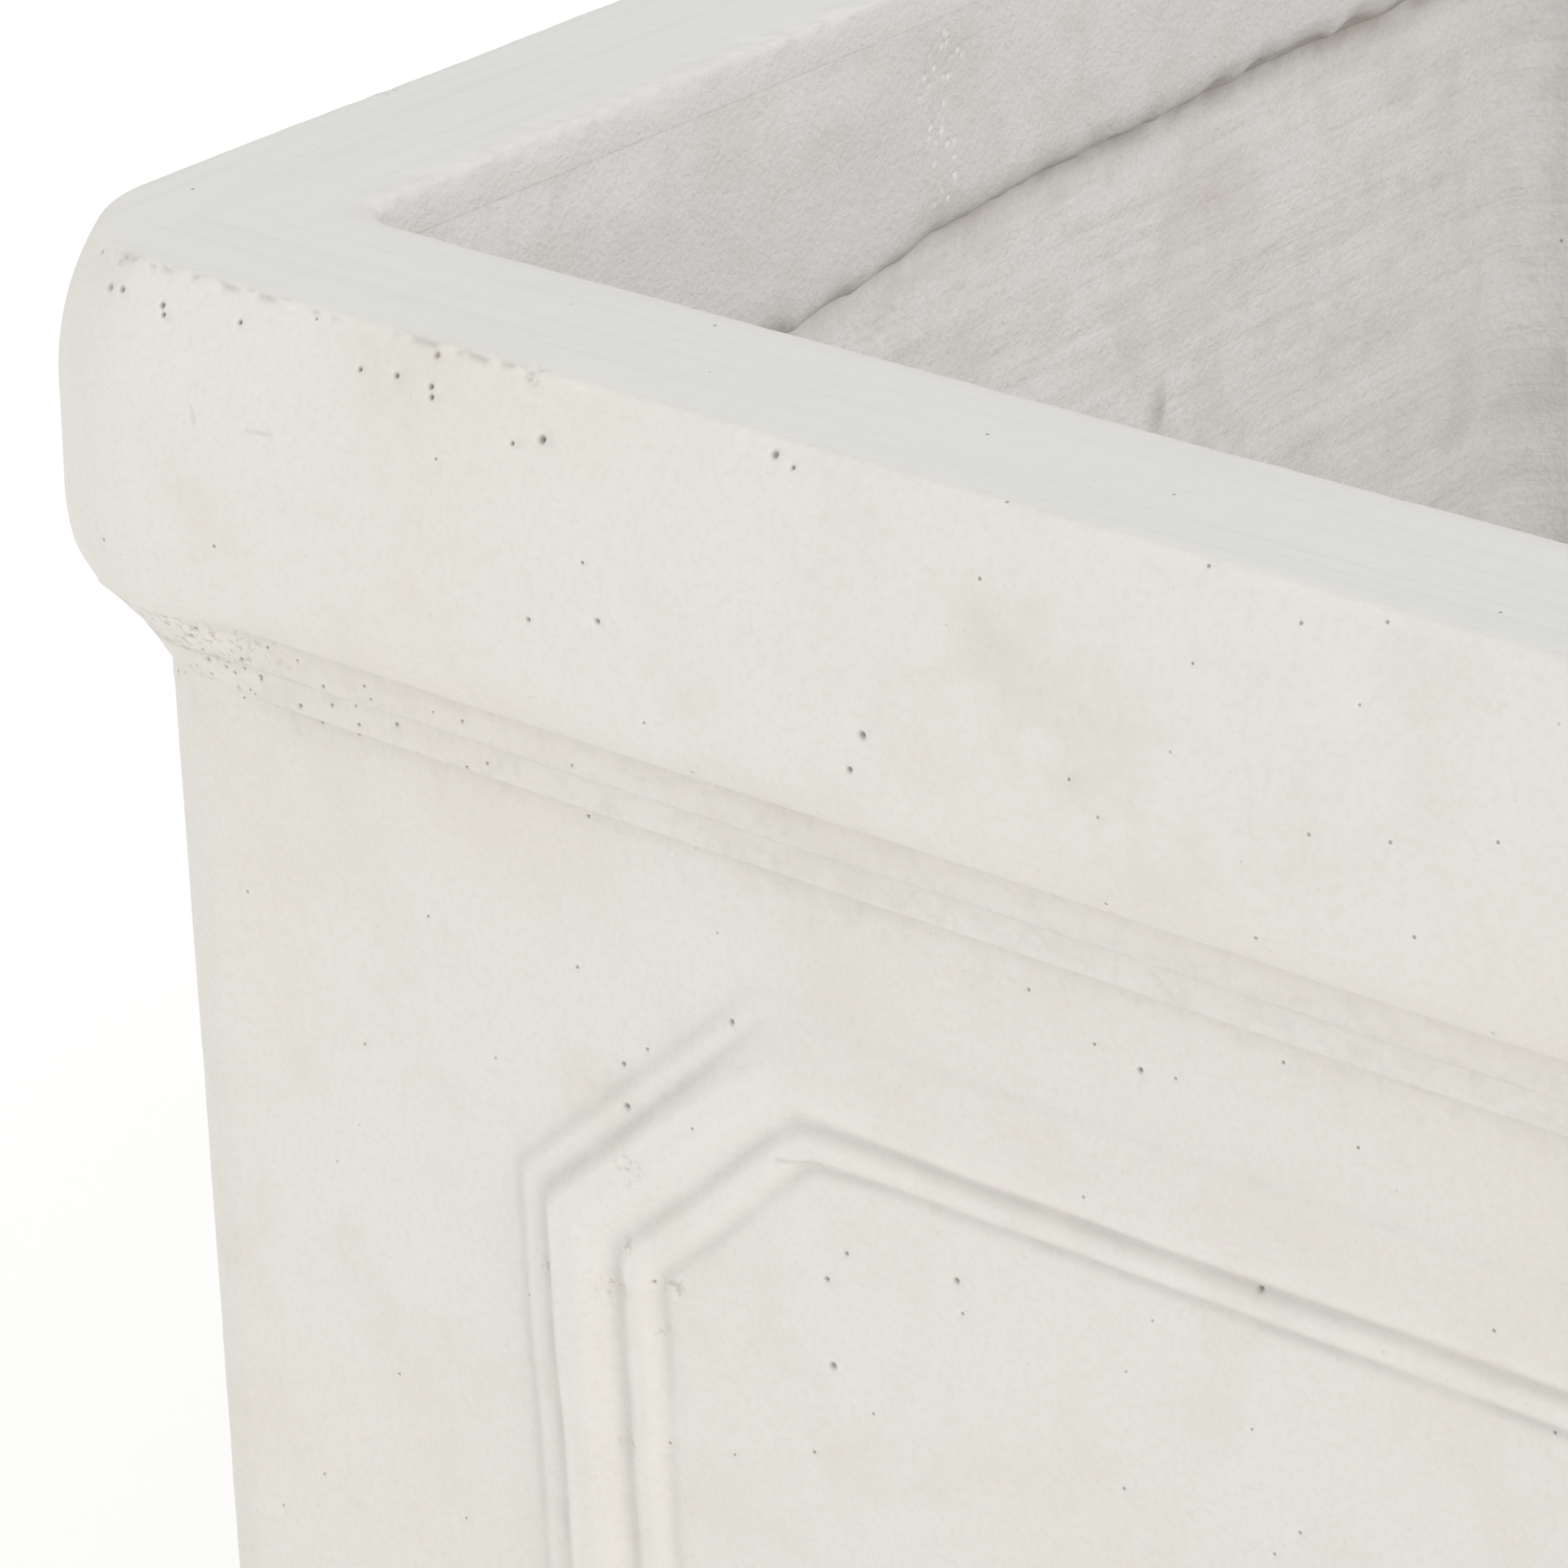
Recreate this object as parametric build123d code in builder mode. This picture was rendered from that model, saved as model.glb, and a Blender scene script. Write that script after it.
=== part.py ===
import math
import os
from build123d import *

# Cast-stone window box, in millimetres: +Z up, front at -Y, origin on the ground under the middle.
# The walls lean in slightly towards the base, and the rim is thickened inside by a hand-laid band.

# Overall size of the casting
body_length = 930.0  # over the fullest part of the fascia
body_depth = 336.0  # over the fullest part of the fascia
body_height = 294.0  # rim top to the underside of the cast base
wall_lean = 1.4  # degrees that each wall leans in towards the base

# Rim moulding, as drops below the rim top and steps out from the top arris
arris_radius = 19.5  # plan corner of the top arris
fascia_swell = 5.7  # how far the fascia stands out past the arris
swell_start = 19.0  # drop at which the fascia is fullest
swell_end = 33.0  # drop at which it turns under into the ovolo
ovolo_drop = 43.6  # drop of the crease under the ovolo
ovolo_inset = 1.1  # the crease's inset from the arris
fillet_drop = 48.9  # drop of the step between the two fillets
fillet_step = 1.4  # how far each fillet and the wall step in
cornice_drop = 54.3  # drop at which the wall begins
wall_inset = 6.0  # wall face at its top, in from the arris
rim_core_radius = 6.0  # plan corner of the plain core that the moulding wraps
moulding_root = 1.0  # how far the moulding is let into that core

# Inside of the rim
rim_width = 26.4  # flat top, from the outer arris to the inner one
mouth_radius = 7.0  # plan corner of the mouth
band_drop = 36.0  # lower edge of the rim band
band_cover = 3.0  # face mix left between the arris line and the band
rim_cap = 6.0  # face mix over the band, at the rim top

# Layers of the wall and floor
coat_thickness = 5.0  # fine face mix
backing_thickness = 10.0  # coarse fibre-reinforced backing behind it
slab_thickness = 13.0  # backing layer of the floor
backing_corner_radius = 9.0  # plan corner of the backing
inner_corner_radius = 14.0  # plan corner of the planting space

# Panel mouldings on the four walls
panel_side = 58.3  # wall edge to the outer foot of the moulding
panel_top_gap = 16.5  # cornice to the outer foot of the moulding
panel_bottom_gap = 40.0  # base to the outer foot of the moulding
panel_cut_across = 35.0  # chamfered corner, measured along the wall
panel_cut_down = 32.5  # and measured down it
panel_width = 19.5  # whole moulding, foot to field
panel_fillet = 4.2  # flat outer fillet
panel_bead = 5.4  # inner bead, next to the field
fillet_height = 1.0  # relief of the outer fillet
roll_height = 2.5  # relief of the broad roll
bead_height = 1.3  # relief of the inner bead
moulding_slope = 40.0  # degrees that the moulding's sides slope by

# Reinforcement inside the casting
scrim_thickness = 0.8  # glass-fibre scrim between coat and backing
scrim_margin = 16.0  # scrim edge to the edge of its layer
rod_radius = 3.0  # galvanised rod cast into the rim band
rod_drop = 21.0  # rim top to the rod's centre
rod_inset = 14.0  # rod's centreline, in from the arris
rod_bend_radius = 14.0  # rod's centreline at the corners
cast_clearance = 0.05  # between the rod and its channel

# Drain holes, their plugs and the pads under the base
drain_radius = 12.5
drain_spacing = 290.0
plug_clearance = 0.05  # running clearance of the shank in its hole
plug_head_radius = 20.0
plug_head_height = 5.0
plug_recess = 4.0  # plug's lower end, above the underside of the base
plug_bevel = 1.5  # at the foot of the shank and round the head
knob_radius = 6.0
knob_height = 9.0  # above the head
knob_neck_radius = 4.0
knob_cap = 3.5  # height of the knob above its flare
knob_flare = 1.5  # height over which the neck widens into the knob
knob_bevel = 1.0
scrim_hole_margin = 8.0  # scrim trimmed back round each drain hole
pad_height = 6.0
pad_side = 44.0
pad_corner_radius = 8.0
pad_inset = 26.0  # pad edge in from the wall at the base

# Sizes that follow from those above
arris_length = body_length - 2 * fascia_swell
arris_depth = body_depth - 2 * fascia_swell
rim_top = pad_height + body_height
wall_top = rim_top - cornice_drop
wall_height = body_height - cornice_drop
band_bottom = rim_top - band_drop
base_bottom = pad_height
coat_floor = base_bottom + coat_thickness
floor_top = coat_floor + slab_thickness
hollow_depth = coat_thickness + backing_thickness
lean = math.tan(math.radians(wall_lean))
wall_radius = arris_radius - wall_inset
rim_core_inset = arris_radius - rim_core_radius
moulding_reach = rim_core_inset + moulding_root
drain_places = [(-drain_spacing, 0), (0, 0), (drain_spacing, 0)]
sides = {"front": -90, "right_end": 0, "back": 90, "left_end": 180}


# A rounded rectangle in plan, inset from the arris of the rim
def plan(inset, radius, mode=Mode.ADD):
    RectangleRounded(arris_length - 2 * inset, arris_depth - 2 * inset, radius, mode=mode)


# Inset of a leaning face that stands wall_inset + depth in from the arris at the top of the wall
def leaning_inset(depth, height):
    return wall_inset + depth + (wall_top - height) * lean


# Solid inside a leaning face, between two heights, added to or cut from the piece being made
def leaning_block(depth, radius, low, high, mode=Mode.ADD):
    with BuildSketch(Plane.XY.offset(high)) as outline:
        plan(leaning_inset(depth, high), radius)
    extrude(outline.sketch, amount=-(high - low), taper=wall_lean, mode=mode)


# Plane of one wall, seen from outside: local X to the right, local Y up the wall, Z out of it
def wall_plane(side, depth=0.0, height=None):
    height = wall_top if height is None else height
    angle = math.radians(sides[side])
    out_x, out_y = math.cos(angle), math.sin(angle)
    reach = abs(out_x) * arris_length / 2 + abs(out_y) * arris_depth / 2 - leaning_inset(depth, height)
    tilt = math.radians(wall_lean)
    normal = (out_x * math.cos(tilt), out_y * math.cos(tilt), -math.sin(tilt))
    return Plane(origin=(out_x * reach, out_y * reach, height), x_dir=(-out_y, out_x, 0), z_dir=normal)


# Length of one wall at its top, measured at a depth behind its face
def wall_length(side, depth=0.0):
    whole = arris_length if side in ("front", "back") else arris_depth
    return whole - 2 * (wall_inset + depth)


# The quarter of the plan that belongs to one side, mitred at the corners
def keep_side(side):
    half_length, half_depth = body_length / 2, body_depth / 2
    ridge = half_length - half_depth
    if side in ("front", "back"):
        way = -1 if side == "front" else 1
        points = [
            (-half_length, way * half_depth),
            (half_length, way * half_depth),
            (ridge, 0),
            (-ridge, 0),
        ]
    else:
        way = -1 if side == "left_end" else 1
        points = [
            (way * half_length, -half_depth),
            (way * half_length, half_depth),
            (way * ridge, 0),
        ]
    with BuildSketch(Plane.XY) as quarter:
        Polygon(*points, align=None)
    extrude(quarter.sketch, amount=rim_top, mode=Mode.INTERSECT)


# Outline of a wall panel, eight-sided, inset all round from the moulding's outer foot
def panel_outline(side, inset, mode=Mode.ADD):
    top = -panel_top_gap - inset
    bottom = -(wall_height - panel_bottom_gap) + inset
    half_top = wall_length(side) / 2 - panel_side - inset + top * lean
    half_bottom = wall_length(side) / 2 - panel_side - inset + bottom * lean
    corner = math.tan(math.radians(22.5)) * inset
    across = panel_cut_across - (inset - corner)
    down = panel_cut_down - (inset - corner)
    points = [
        (-half_top + across, top),
        (half_top - across, top),
        (half_top, top - down),
        (half_bottom, bottom + down),
        (half_bottom - across, bottom),
        (-half_bottom + across, bottom),
        (-half_bottom, bottom + down),
        (-half_top, top - down),
    ]
    Polygon(*points, align=None, mode=mode)


# One raised ring of the panel moulding, between two insets, with sloping sides
def panel_ring(side, outer, inner, height):
    with BuildSketch(wall_plane(side)) as ring:
        panel_outline(side, outer)
        panel_outline(side, inner, mode=Mode.SUBTRACT)
    extrude(ring.sketch, amount=height, taper=moulding_slope)


# Bores through the floor, one for each drain
def drain_bores(radius, low, high):
    with BuildSketch(Plane.XY.offset(low)) as bores:
        with Locations(*drain_places):
            Circle(radius)
    extrude(bores.sketch, amount=high - low, mode=Mode.SUBTRACT)


# Line of the rod or of the rim moulding: a rounded rectangle that starts at the middle of the front
def ring_path(inset, radius, height):
    half_length = arris_length / 2 - inset
    half_depth = arris_depth / 2 - inset
    near_x, near_y = half_length - radius, half_depth - radius
    with BuildLine(Plane.XY.offset(height)) as path:
        Line((0, -half_depth), (near_x, -half_depth))
        CenterArc((near_x, -near_y), radius, -90, 90)
        Line((half_length, -near_y), (half_length, near_y))
        CenterArc((near_x, near_y), radius, 0, 90)
        Line((near_x, half_depth), (-near_x, half_depth))
        CenterArc((-near_x, near_y), radius, 90, 90)
        Line((-half_length, near_y), (-half_length, -near_y))
        CenterArc((-near_x, -near_y), radius, 180, 90)
        Line((-near_x, -half_depth), (0, -half_depth))
    return path


# Cross-section plane at the middle of the front: local X points out of the box, local Y up
def front_section(inset, height):
    return Plane(origin=(0, inset - arris_depth / 2, height), x_dir=(0, -1, 0), z_dir=(-1, 0, 0))


def export(piece, name):
    piece.label = name
    export_step(piece, f"parts/{name}.step")


os.makedirs("parts", exist_ok=True)

# Face coat: leaning walls, rim moulding swept round them, and the panel mouldings
with BuildPart() as face_coat:
    leaning_block(0, wall_radius, base_bottom, wall_top)
    with BuildSketch(Plane.XY.offset(rim_top)):
        plan(rim_core_inset, rim_core_radius)
    extrude(amount=-cornice_drop)
    with BuildSketch(front_section(0, rim_top)) as rim_section:
        with BuildLine():
            Line((-moulding_reach, 0), (0, 0))
            TangentArc((fascia_swell, -swell_start), (0, 0), tangent=(0, 1))
            Line((fascia_swell, -swell_start), (fascia_swell, -swell_end))
            EllipticalCenterArc(
                (-ovolo_inset, -swell_end),
                x_radius=fascia_swell + ovolo_inset,
                y_radius=ovolo_drop - swell_end,
                start_angle=-90,
                arc_size=90,
            )
            Polyline(
                (-ovolo_inset, -ovolo_drop),
                (-ovolo_inset - fillet_step, -ovolo_drop),
                (-ovolo_inset - fillet_step, -fillet_drop),
                (-ovolo_inset - 2 * fillet_step, -fillet_drop),
                (-ovolo_inset - 2 * fillet_step, -cornice_drop),
                (-moulding_reach, -cornice_drop),
                (-moulding_reach, 0),
            )
        make_face()
    sweep(path=ring_path(0, arris_radius, rim_top).line)
    for side in sides:
        panel_ring(side, 0, panel_width, fillet_height)
        panel_ring(side, panel_fillet, panel_width - panel_bead, roll_height)
        panel_ring(side, panel_width - panel_bead, panel_width, bead_height)
    leaning_block(coat_thickness, backing_corner_radius, coat_floor, band_bottom, Mode.SUBTRACT)
    with BuildSketch(Plane.XY.offset(band_bottom)):
        plan(band_cover, arris_radius - band_cover)
    extrude(amount=band_drop - rim_cap, mode=Mode.SUBTRACT)
    with BuildSketch(Plane.XY.offset(band_bottom)):
        plan(rim_width, mouth_radius)
    extrude(amount=band_drop, mode=Mode.SUBTRACT)
    drain_bores(drain_radius, base_bottom, coat_floor)
export(face_coat.part, "face_coat")


# Ring rod cast into the rim band, and the channel that it leaves
def rod_ring(radius):
    with BuildPart() as ring:
        with BuildSketch(front_section(rod_inset, rim_top - rod_drop)) as section:
            Circle(radius)
        path = ring_path(rod_inset, rod_bend_radius, rim_top - rod_drop)
        sweep(section.sketch, path=path.line)
    return ring.part


export(rod_ring(rod_radius), "rim_rod")
rod_channel = rod_ring(rod_radius + cast_clearance)

# Rim band: one thick run along each side, mitred at the corners, with the rod through all four
for side in sides:
    with BuildPart() as rim_band:
        with BuildSketch(Plane.XY.offset(band_bottom)):
            plan(band_cover, arris_radius - band_cover)
            plan(rim_width, mouth_radius, Mode.SUBTRACT)
        extrude(amount=band_drop - rim_cap)
        keep_side(side)
        add(rod_channel, mode=Mode.SUBTRACT)
    export(rim_band.part, side.replace("_end", "") + "_rim_band")


# Sheet of scrim on the outer face of a backing layer
def wall_scrim(side):
    plane = wall_plane(side, coat_thickness)
    sheet_top = band_bottom - wall_top - scrim_margin
    sheet_bottom = coat_floor - wall_top + scrim_margin
    half_length = wall_length(side, coat_thickness) / 2 - scrim_margin - (wall_top - coat_floor) * lean
    with BuildPart() as scrim:
        with BuildSketch(plane) as sheet:
            with Locations((0, (sheet_top + sheet_bottom) / 2)):
                Rectangle(2 * half_length, sheet_top - sheet_bottom)
        extrude(sheet.sketch, amount=-scrim_thickness)
    return scrim.part


# Backing layer of each wall, set back behind the rim band, with its scrim in its outer face
for side in sides:
    scrim = wall_scrim(side)
    export(scrim, side + "_scrim")
    with BuildPart() as backing:
        leaning_block(coat_thickness, backing_corner_radius, floor_top, band_bottom)
        leaning_block(hollow_depth, inner_corner_radius, floor_top, band_bottom, Mode.SUBTRACT)
        keep_side(side)
        add(scrim, mode=Mode.SUBTRACT)
    export(backing.part, side + "_backing")

# Backing layer of the floor, with scrim under it and the drain holes through both
with BuildPart() as base_scrim:
    with BuildSketch(Plane.XY.offset(coat_floor)):
        plan(leaning_inset(coat_thickness, coat_floor) + scrim_margin, backing_corner_radius)
    extrude(amount=scrim_thickness)
    drain_bores(drain_radius + scrim_hole_margin, coat_floor, coat_floor + scrim_thickness)
with BuildPart() as base_slab:
    leaning_block(coat_thickness, backing_corner_radius, coat_floor, floor_top)
    add(base_scrim.part, mode=Mode.SUBTRACT)
    drain_bores(drain_radius, coat_floor, floor_top)
export(base_scrim.part, "base_scrim")
export(base_slab.part, "base_slab")


# Lift-out rubber plug: a shank in the drain hole, a head on the floor, and a waisted knob to pull it by
def drain_plug(place):
    shank_radius = drain_radius - plug_clearance
    shank_bottom = base_bottom + plug_recess
    head_top = floor_top + plug_head_height
    knob_top = head_top + knob_height
    with BuildPart() as plug:
        with BuildSketch(Plane(origin=(*place, 0), x_dir=(1, 0, 0), z_dir=(0, -1, 0))) as half_section:
            with BuildLine():
                Polyline(
                    (0, shank_bottom),
                    (shank_radius - plug_bevel, shank_bottom),
                    (shank_radius, shank_bottom + plug_bevel),
                    (shank_radius, floor_top),
                    (plug_head_radius, floor_top),
                    (plug_head_radius, head_top - plug_bevel),
                    (plug_head_radius - plug_bevel, head_top),
                    (knob_neck_radius + knob_bevel, head_top),
                    (knob_neck_radius, head_top + knob_bevel),
                    (knob_neck_radius, knob_top - knob_cap - knob_flare),
                    (knob_radius, knob_top - knob_cap),
                    (knob_radius, knob_top - knob_bevel),
                    (knob_radius - knob_bevel, knob_top),
                    (0, knob_top),
                    close=True,
                )
            make_face()
        revolve(half_section.sketch, axis=Axis((*place, 0), (0, 0, 1)))
    return plug.part


for place, name in zip(drain_places, ["left", "centre", "right"]):
    export(drain_plug(place), "drain_plug_" + name)

# Rubber pads glued under the corners of the base
pad_reach_x = arris_length / 2 - leaning_inset(0, base_bottom) - pad_inset - pad_side / 2
pad_reach_y = arris_depth / 2 - leaning_inset(0, base_bottom) - pad_inset - pad_side / 2
with BuildPart() as foot_pads:
    with BuildSketch():
        with GridLocations(2 * pad_reach_x, 2 * pad_reach_y, 2, 2):
            RectangleRounded(pad_side, pad_side, pad_corner_radius)
    extrude(amount=pad_height)
export(foot_pads.part, "foot_pads")
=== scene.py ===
import math
from itertools import product

import bpy
import numpy as np
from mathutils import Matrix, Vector
from mathutils.geometry import delaunay_2d_cdt


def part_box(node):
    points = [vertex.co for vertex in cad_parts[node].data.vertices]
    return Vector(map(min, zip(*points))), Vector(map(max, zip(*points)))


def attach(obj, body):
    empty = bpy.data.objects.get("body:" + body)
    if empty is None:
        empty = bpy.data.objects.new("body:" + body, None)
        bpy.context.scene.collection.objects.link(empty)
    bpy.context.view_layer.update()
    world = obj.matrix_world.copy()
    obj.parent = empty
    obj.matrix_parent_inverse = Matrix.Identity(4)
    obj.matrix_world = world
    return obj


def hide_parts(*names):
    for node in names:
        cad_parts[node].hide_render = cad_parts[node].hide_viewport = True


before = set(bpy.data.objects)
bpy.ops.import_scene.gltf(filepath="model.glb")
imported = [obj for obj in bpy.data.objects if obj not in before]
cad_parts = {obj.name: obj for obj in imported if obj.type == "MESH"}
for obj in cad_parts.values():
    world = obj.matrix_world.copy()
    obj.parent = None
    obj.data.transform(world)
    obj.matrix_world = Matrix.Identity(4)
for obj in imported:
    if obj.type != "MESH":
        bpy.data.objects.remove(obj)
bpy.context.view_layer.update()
mm = 0.001

# Window box in cast stone: a fine face coat from the mould, a coarse backing packed in by hand,
# a thick hand-laid band round the mouth, rubber plugs in the drains and rubber pads below.

# Casting sizes
casting = {  # millimetres
    "arrisRadius": 19.5,  # plan corner of the rim's outer edge
    "fasciaSwell": 5.7,
    "swellStart": 19.0,
    "swellEnd": 33.0,
    "ovoloDrop": 42.5,
    "ovoloInset": 1.1,
    "filletDrop": 48.9,
    "filletStep": 1.4,
    "corniceDrop": 54.3,
    "wallInset": 6.0,
    "wallLean": 1.4,  # degrees
    "coat": 5.0,
    "backing": 10.0,
    "rimWidth": 26.4,
    "mouthRadius": 7.0,
    "bandCover": 3.0,
    "rimCap": 6.0,
    "bandDrop": 36.0,
    "slab": 13.0,
    "hollowRadius": 14.0,
    "drainRadius": 12.5,
    "drainSpacing": 290.0,
}

coatLow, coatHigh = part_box("face_coat")
bodyLength = (coatHigh.x - coatLow.x) / mm
bodyDepth = (coatHigh.y - coatLow.y) / mm
rimTop = coatHigh.z / mm
baseDrop = rimTop - coatLow.z / mm
halfX = bodyLength / 2 - casting["fasciaSwell"]
halfY = bodyDepth / 2 - casting["fasciaSwell"]
lean = math.tan(math.radians(casting["wallLean"]))
wallDrop = casting["corniceDrop"]
coatDrop = baseDrop - casting["coat"]
floorDrop = coatDrop - casting["slab"]
arrisRadius = casting["arrisRadius"]

# The plan starts at the right end of the back wall and runs back, left end, front, right end.
# Even stretches are walls and odd ones are corners.
cornerSigns = np.array([(-1, 1), (-1, -1), (1, -1), (1, 1)], float)
stretch = np.array([2 * (halfX - arrisRadius), math.pi / 2 * arrisRadius,
                    2 * (halfY - arrisRadius), math.pi / 2 * arrisRadius] * 2)
stretchStart = np.concatenate(([0.0], np.cumsum(stretch)))
around = stretchStart[-1]


def facing(s):
    # the stretch a place is on, how far along it, and the angle it faces
    index = np.clip(np.searchsorted(stretchStart, s, side="right") - 1, 0, 7)
    t = (s - stretchStart[index]) / stretch[index]
    odd = index % 2 == 1
    angle = np.where(odd, (index + 1) / 2 + t, index / 2 + 1) * math.pi / 2
    return index, t, odd, angle


def cornerPoint(k, angle, inset, radius):
    signs = cornerSigns[k % 4]
    x = signs[..., 0] * (halfX - inset - radius) + radius * np.cos(angle)
    y = signs[..., 1] * (halfY - inset - radius) + radius * np.sin(angle)
    return x, y


def planPoint(s, inset, radius):
    index, t, odd, angle = facing(s)
    x, y = cornerPoint((index - 1) // 2, angle, inset, radius)
    startX, startY = cornerPoint(index // 2 - 1, angle, inset, radius)
    endX, endY = cornerPoint(index // 2, angle, inset, radius)
    x = np.where(odd, x, startX + (endX - startX) * t)
    y = np.where(odd, y, startY + (endY - startY) * t)
    return x, y


# Random lumps, ramps and rows
def lumps(points, size, seed):
    # smooth random lumps of about one size, from -1 to 1
    q = points / size + seed * 7.31
    cell = np.floor(q).astype(np.int64)
    f = q - cell
    f = f * f * (3 - 2 * f)
    total = np.zeros(len(points))
    for step in product((0, 1), repeat=3):
        c = cell + np.array(step)
        h = (c[:, 0] * 73856093) ^ (c[:, 1] * 19349663) ^ (c[:, 2] * 83492791) ^ (seed * 2971215)
        h = (h * 1103515245 + 12345) & 0x7FFFFFFF
        h = (((h >> 13) ^ h) * 1274126177) & 0x7FFFFFFF
        weight = np.prod(np.where(np.array(step) == 1, f, 1 - f), axis=1)
        total += weight * (h / 0x3FFFFFFF - 1)
    return total


def ramp(x, at, width):
    t = np.clip((x - at) / width + 0.5, 0, 1)
    return t * t * (3 - 2 * t)


def swell(x, at, width):
    return np.exp(-((x - at) / width) ** 2)


def spaced(low, high, step):
    return np.linspace(low, high, max(2, int(math.ceil((high - low) / step)) + 1))


sectionGrain = 0.1  # mm between the places that a section keeps


def makeSection(corners, soft, softFrom=-1.0):
    # line across the wall from sharp corners of (inset, plan radius, drop), rounded as a mould rounds it
    corners = np.array(corners, float)
    steps = np.hypot(np.diff(corners[:, 0]), np.diff(corners[:, 2]))
    marks = np.concatenate(([0.0], np.cumsum(steps)))
    v = np.arange(0, marks[-1] + sectionGrain, sectionGrain)
    reach = int(4 * soft / sectionGrain)
    kernel = np.exp(-0.5 * (np.arange(-reach, reach + 1) * sectionGrain / soft) ** 2)
    kernel /= kernel.sum()
    mix = ramp(v, softFrom + 1.5, 1.0)
    lines = []
    for i in range(3):
        sharp = np.interp(v, marks, corners[:, i])
        before = 2 * sharp[0] - sharp[reach:0:-1]
        after = 2 * sharp[-1] - sharp[-2:-2 - reach:-1]
        longer = np.concatenate((before, sharp, after))
        lines.append(sharp * (1 - mix) + np.convolve(longer, kernel, mode="valid") * mix)
    return {"v": v, "inset": lines[0], "radius": lines[1], "drop": lines[2], "marks": marks}


def surface(section, s, v):
    inset, radius, drop = (np.interp(v, section["v"], section[k]) for k in ("inset", "radius", "drop"))
    x, y = planPoint(s, inset, radius)
    return np.stack((x, y, rimTop - drop), axis=1)


def surfaceNormal(section, s, v, reach=0.15):
    high = section["v"][-1]
    alongS = (surface(section, np.minimum(s + reach, around), v)
              - surface(section, np.maximum(s - reach, 0), v))
    alongV = (surface(section, s, np.minimum(v + reach, high))
              - surface(section, s, np.maximum(v - reach, 0)))
    normal = np.cross(alongV, alongS)
    return normal / np.maximum(np.linalg.norm(normal, axis=1, keepdims=True), 1e-9)


def rowsAlong(section, low, high, step, turn):
    # rows across the wall, closer where the section bends
    v = np.arange(low, high, sectionGrain)
    inset, drop = (np.interp(v, section["v"], section[k]) for k in ("inset", "drop"))
    bend = np.abs(np.diff(np.unwrap(np.arctan2(np.gradient(drop), np.gradient(inset)))))
    count = np.concatenate(([0.0], np.cumsum(bend / math.radians(turn) + sectionGrain / step)))
    return np.append(np.interp(np.arange(0, count[-1] - 0.5), count, v), high)


def columnsAround(step, cornerCount, low=0.0, high=None):
    high = around if high is None else high
    places = [low, high]
    for i in range(8):
        start, end = max(stretchStart[i], low), min(stretchStart[i + 1], high)
        if end > start:
            size = stretch[i] / cornerCount if i % 2 else step
            places += spaced(start, end, size).tolist()
    return np.unique(np.round(places, 4))


def grid(rows, columns):
    s, v = np.meshgrid(columns, rows)
    return np.stack((s.ravel(), v.ravel()), axis=1)


def relay(points, window, rows, columns):
    # swaps what lies in a window for a finer grid
    lowS, highS, lowV, highV = window
    inside = ((points[:, 0] >= lowS - 1e-6) & (points[:, 0] <= highS + 1e-6)
              & (points[:, 1] >= lowV - 1e-6) & (points[:, 1] <= highV + 1e-6))
    return np.concatenate((points[~inside], grid(rows, columns)))


def patch(points, window, rowStep, columnStep):
    # the same with an even grid
    lowS, highS, lowV, highV = window
    return relay(points, window, spaced(lowV, highV, rowStep), spaced(lowS, highS, columnStep))


def sideOf(points):
    # which of the four mitred quarters a place is in
    endReach = halfX - np.abs(points[:, 0])
    wallReach = halfY - np.abs(points[:, 1])
    end = endReach < wallReach
    return np.where(end, np.where(points[:, 0] < 0, 2, 6), np.where(points[:, 1] < 0, 4, 0))


# Joining places into skins
weld = 1e-4  # mm, places closer than this are one
seam = 1e-2  # mm, how near the plan's start or end a place is on the seam
holeFacets = 48


def triangulate(points):
    made = delaunay_2d_cdt([Vector((a, -b)) for a, b in points.tolist()], [], [], 0, weld)
    flat = np.array([tuple(p) for p in made[0]])
    faces = np.array(made[2])
    s, v = flat[:, 0], -flat[:, 1]
    first = {round(float(v[i]), 2): i for i in np.nonzero(s < seam)[0]}
    follow = np.arange(len(s))
    for i in np.nonzero(s > around - seam)[0]:
        follow[i] = first.get(round(float(v[i]), 2), i)
    faces = follow[faces]
    kept = (faces[:, 0] != faces[:, 1]) & (faces[:, 1] != faces[:, 2]) & (faces[:, 0] != faces[:, 2])
    return s, v, faces[kept]


def disc(outline, holes, step, height, up):
    # a flat floor inside an outline of points, with round holes
    low, high = outline.min(0), outline.max(0)
    inner = grid(spaced(low[1] + step, high[1] - step, step), spaced(low[0] + step, high[0] - step, step))
    inner = inner[insideBy(inner, outline) > 0.7 * step]
    rims = []
    for x, y, radius in holes:
        inner = inner[np.hypot(inner[:, 0] - x, inner[:, 1] - y) > radius + 0.5 * step]
        angle = np.linspace(0, 2 * math.pi, holeFacets, endpoint=False)
        rims.append(np.stack((x + radius * np.cos(angle), y + radius * np.sin(angle)), axis=1))
    places = np.concatenate([outline] + rims + [inner])
    made = delaunay_2d_cdt([Vector(p) for p in places.tolist()], [], [], 0, weld)
    flat = np.array([tuple(p) for p in made[0]])
    faces = np.array(made[2])
    middle = flat[faces].mean(1)
    for x, y, radius in holes:
        faces = faces[np.hypot(middle[:, 0] - x, middle[:, 1] - y) > radius * 0.995]
        middle = flat[faces].mean(1)
    points = np.column_stack((flat, np.full(len(flat), height)))
    return points, faces if up else faces[:, ::-1]


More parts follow.
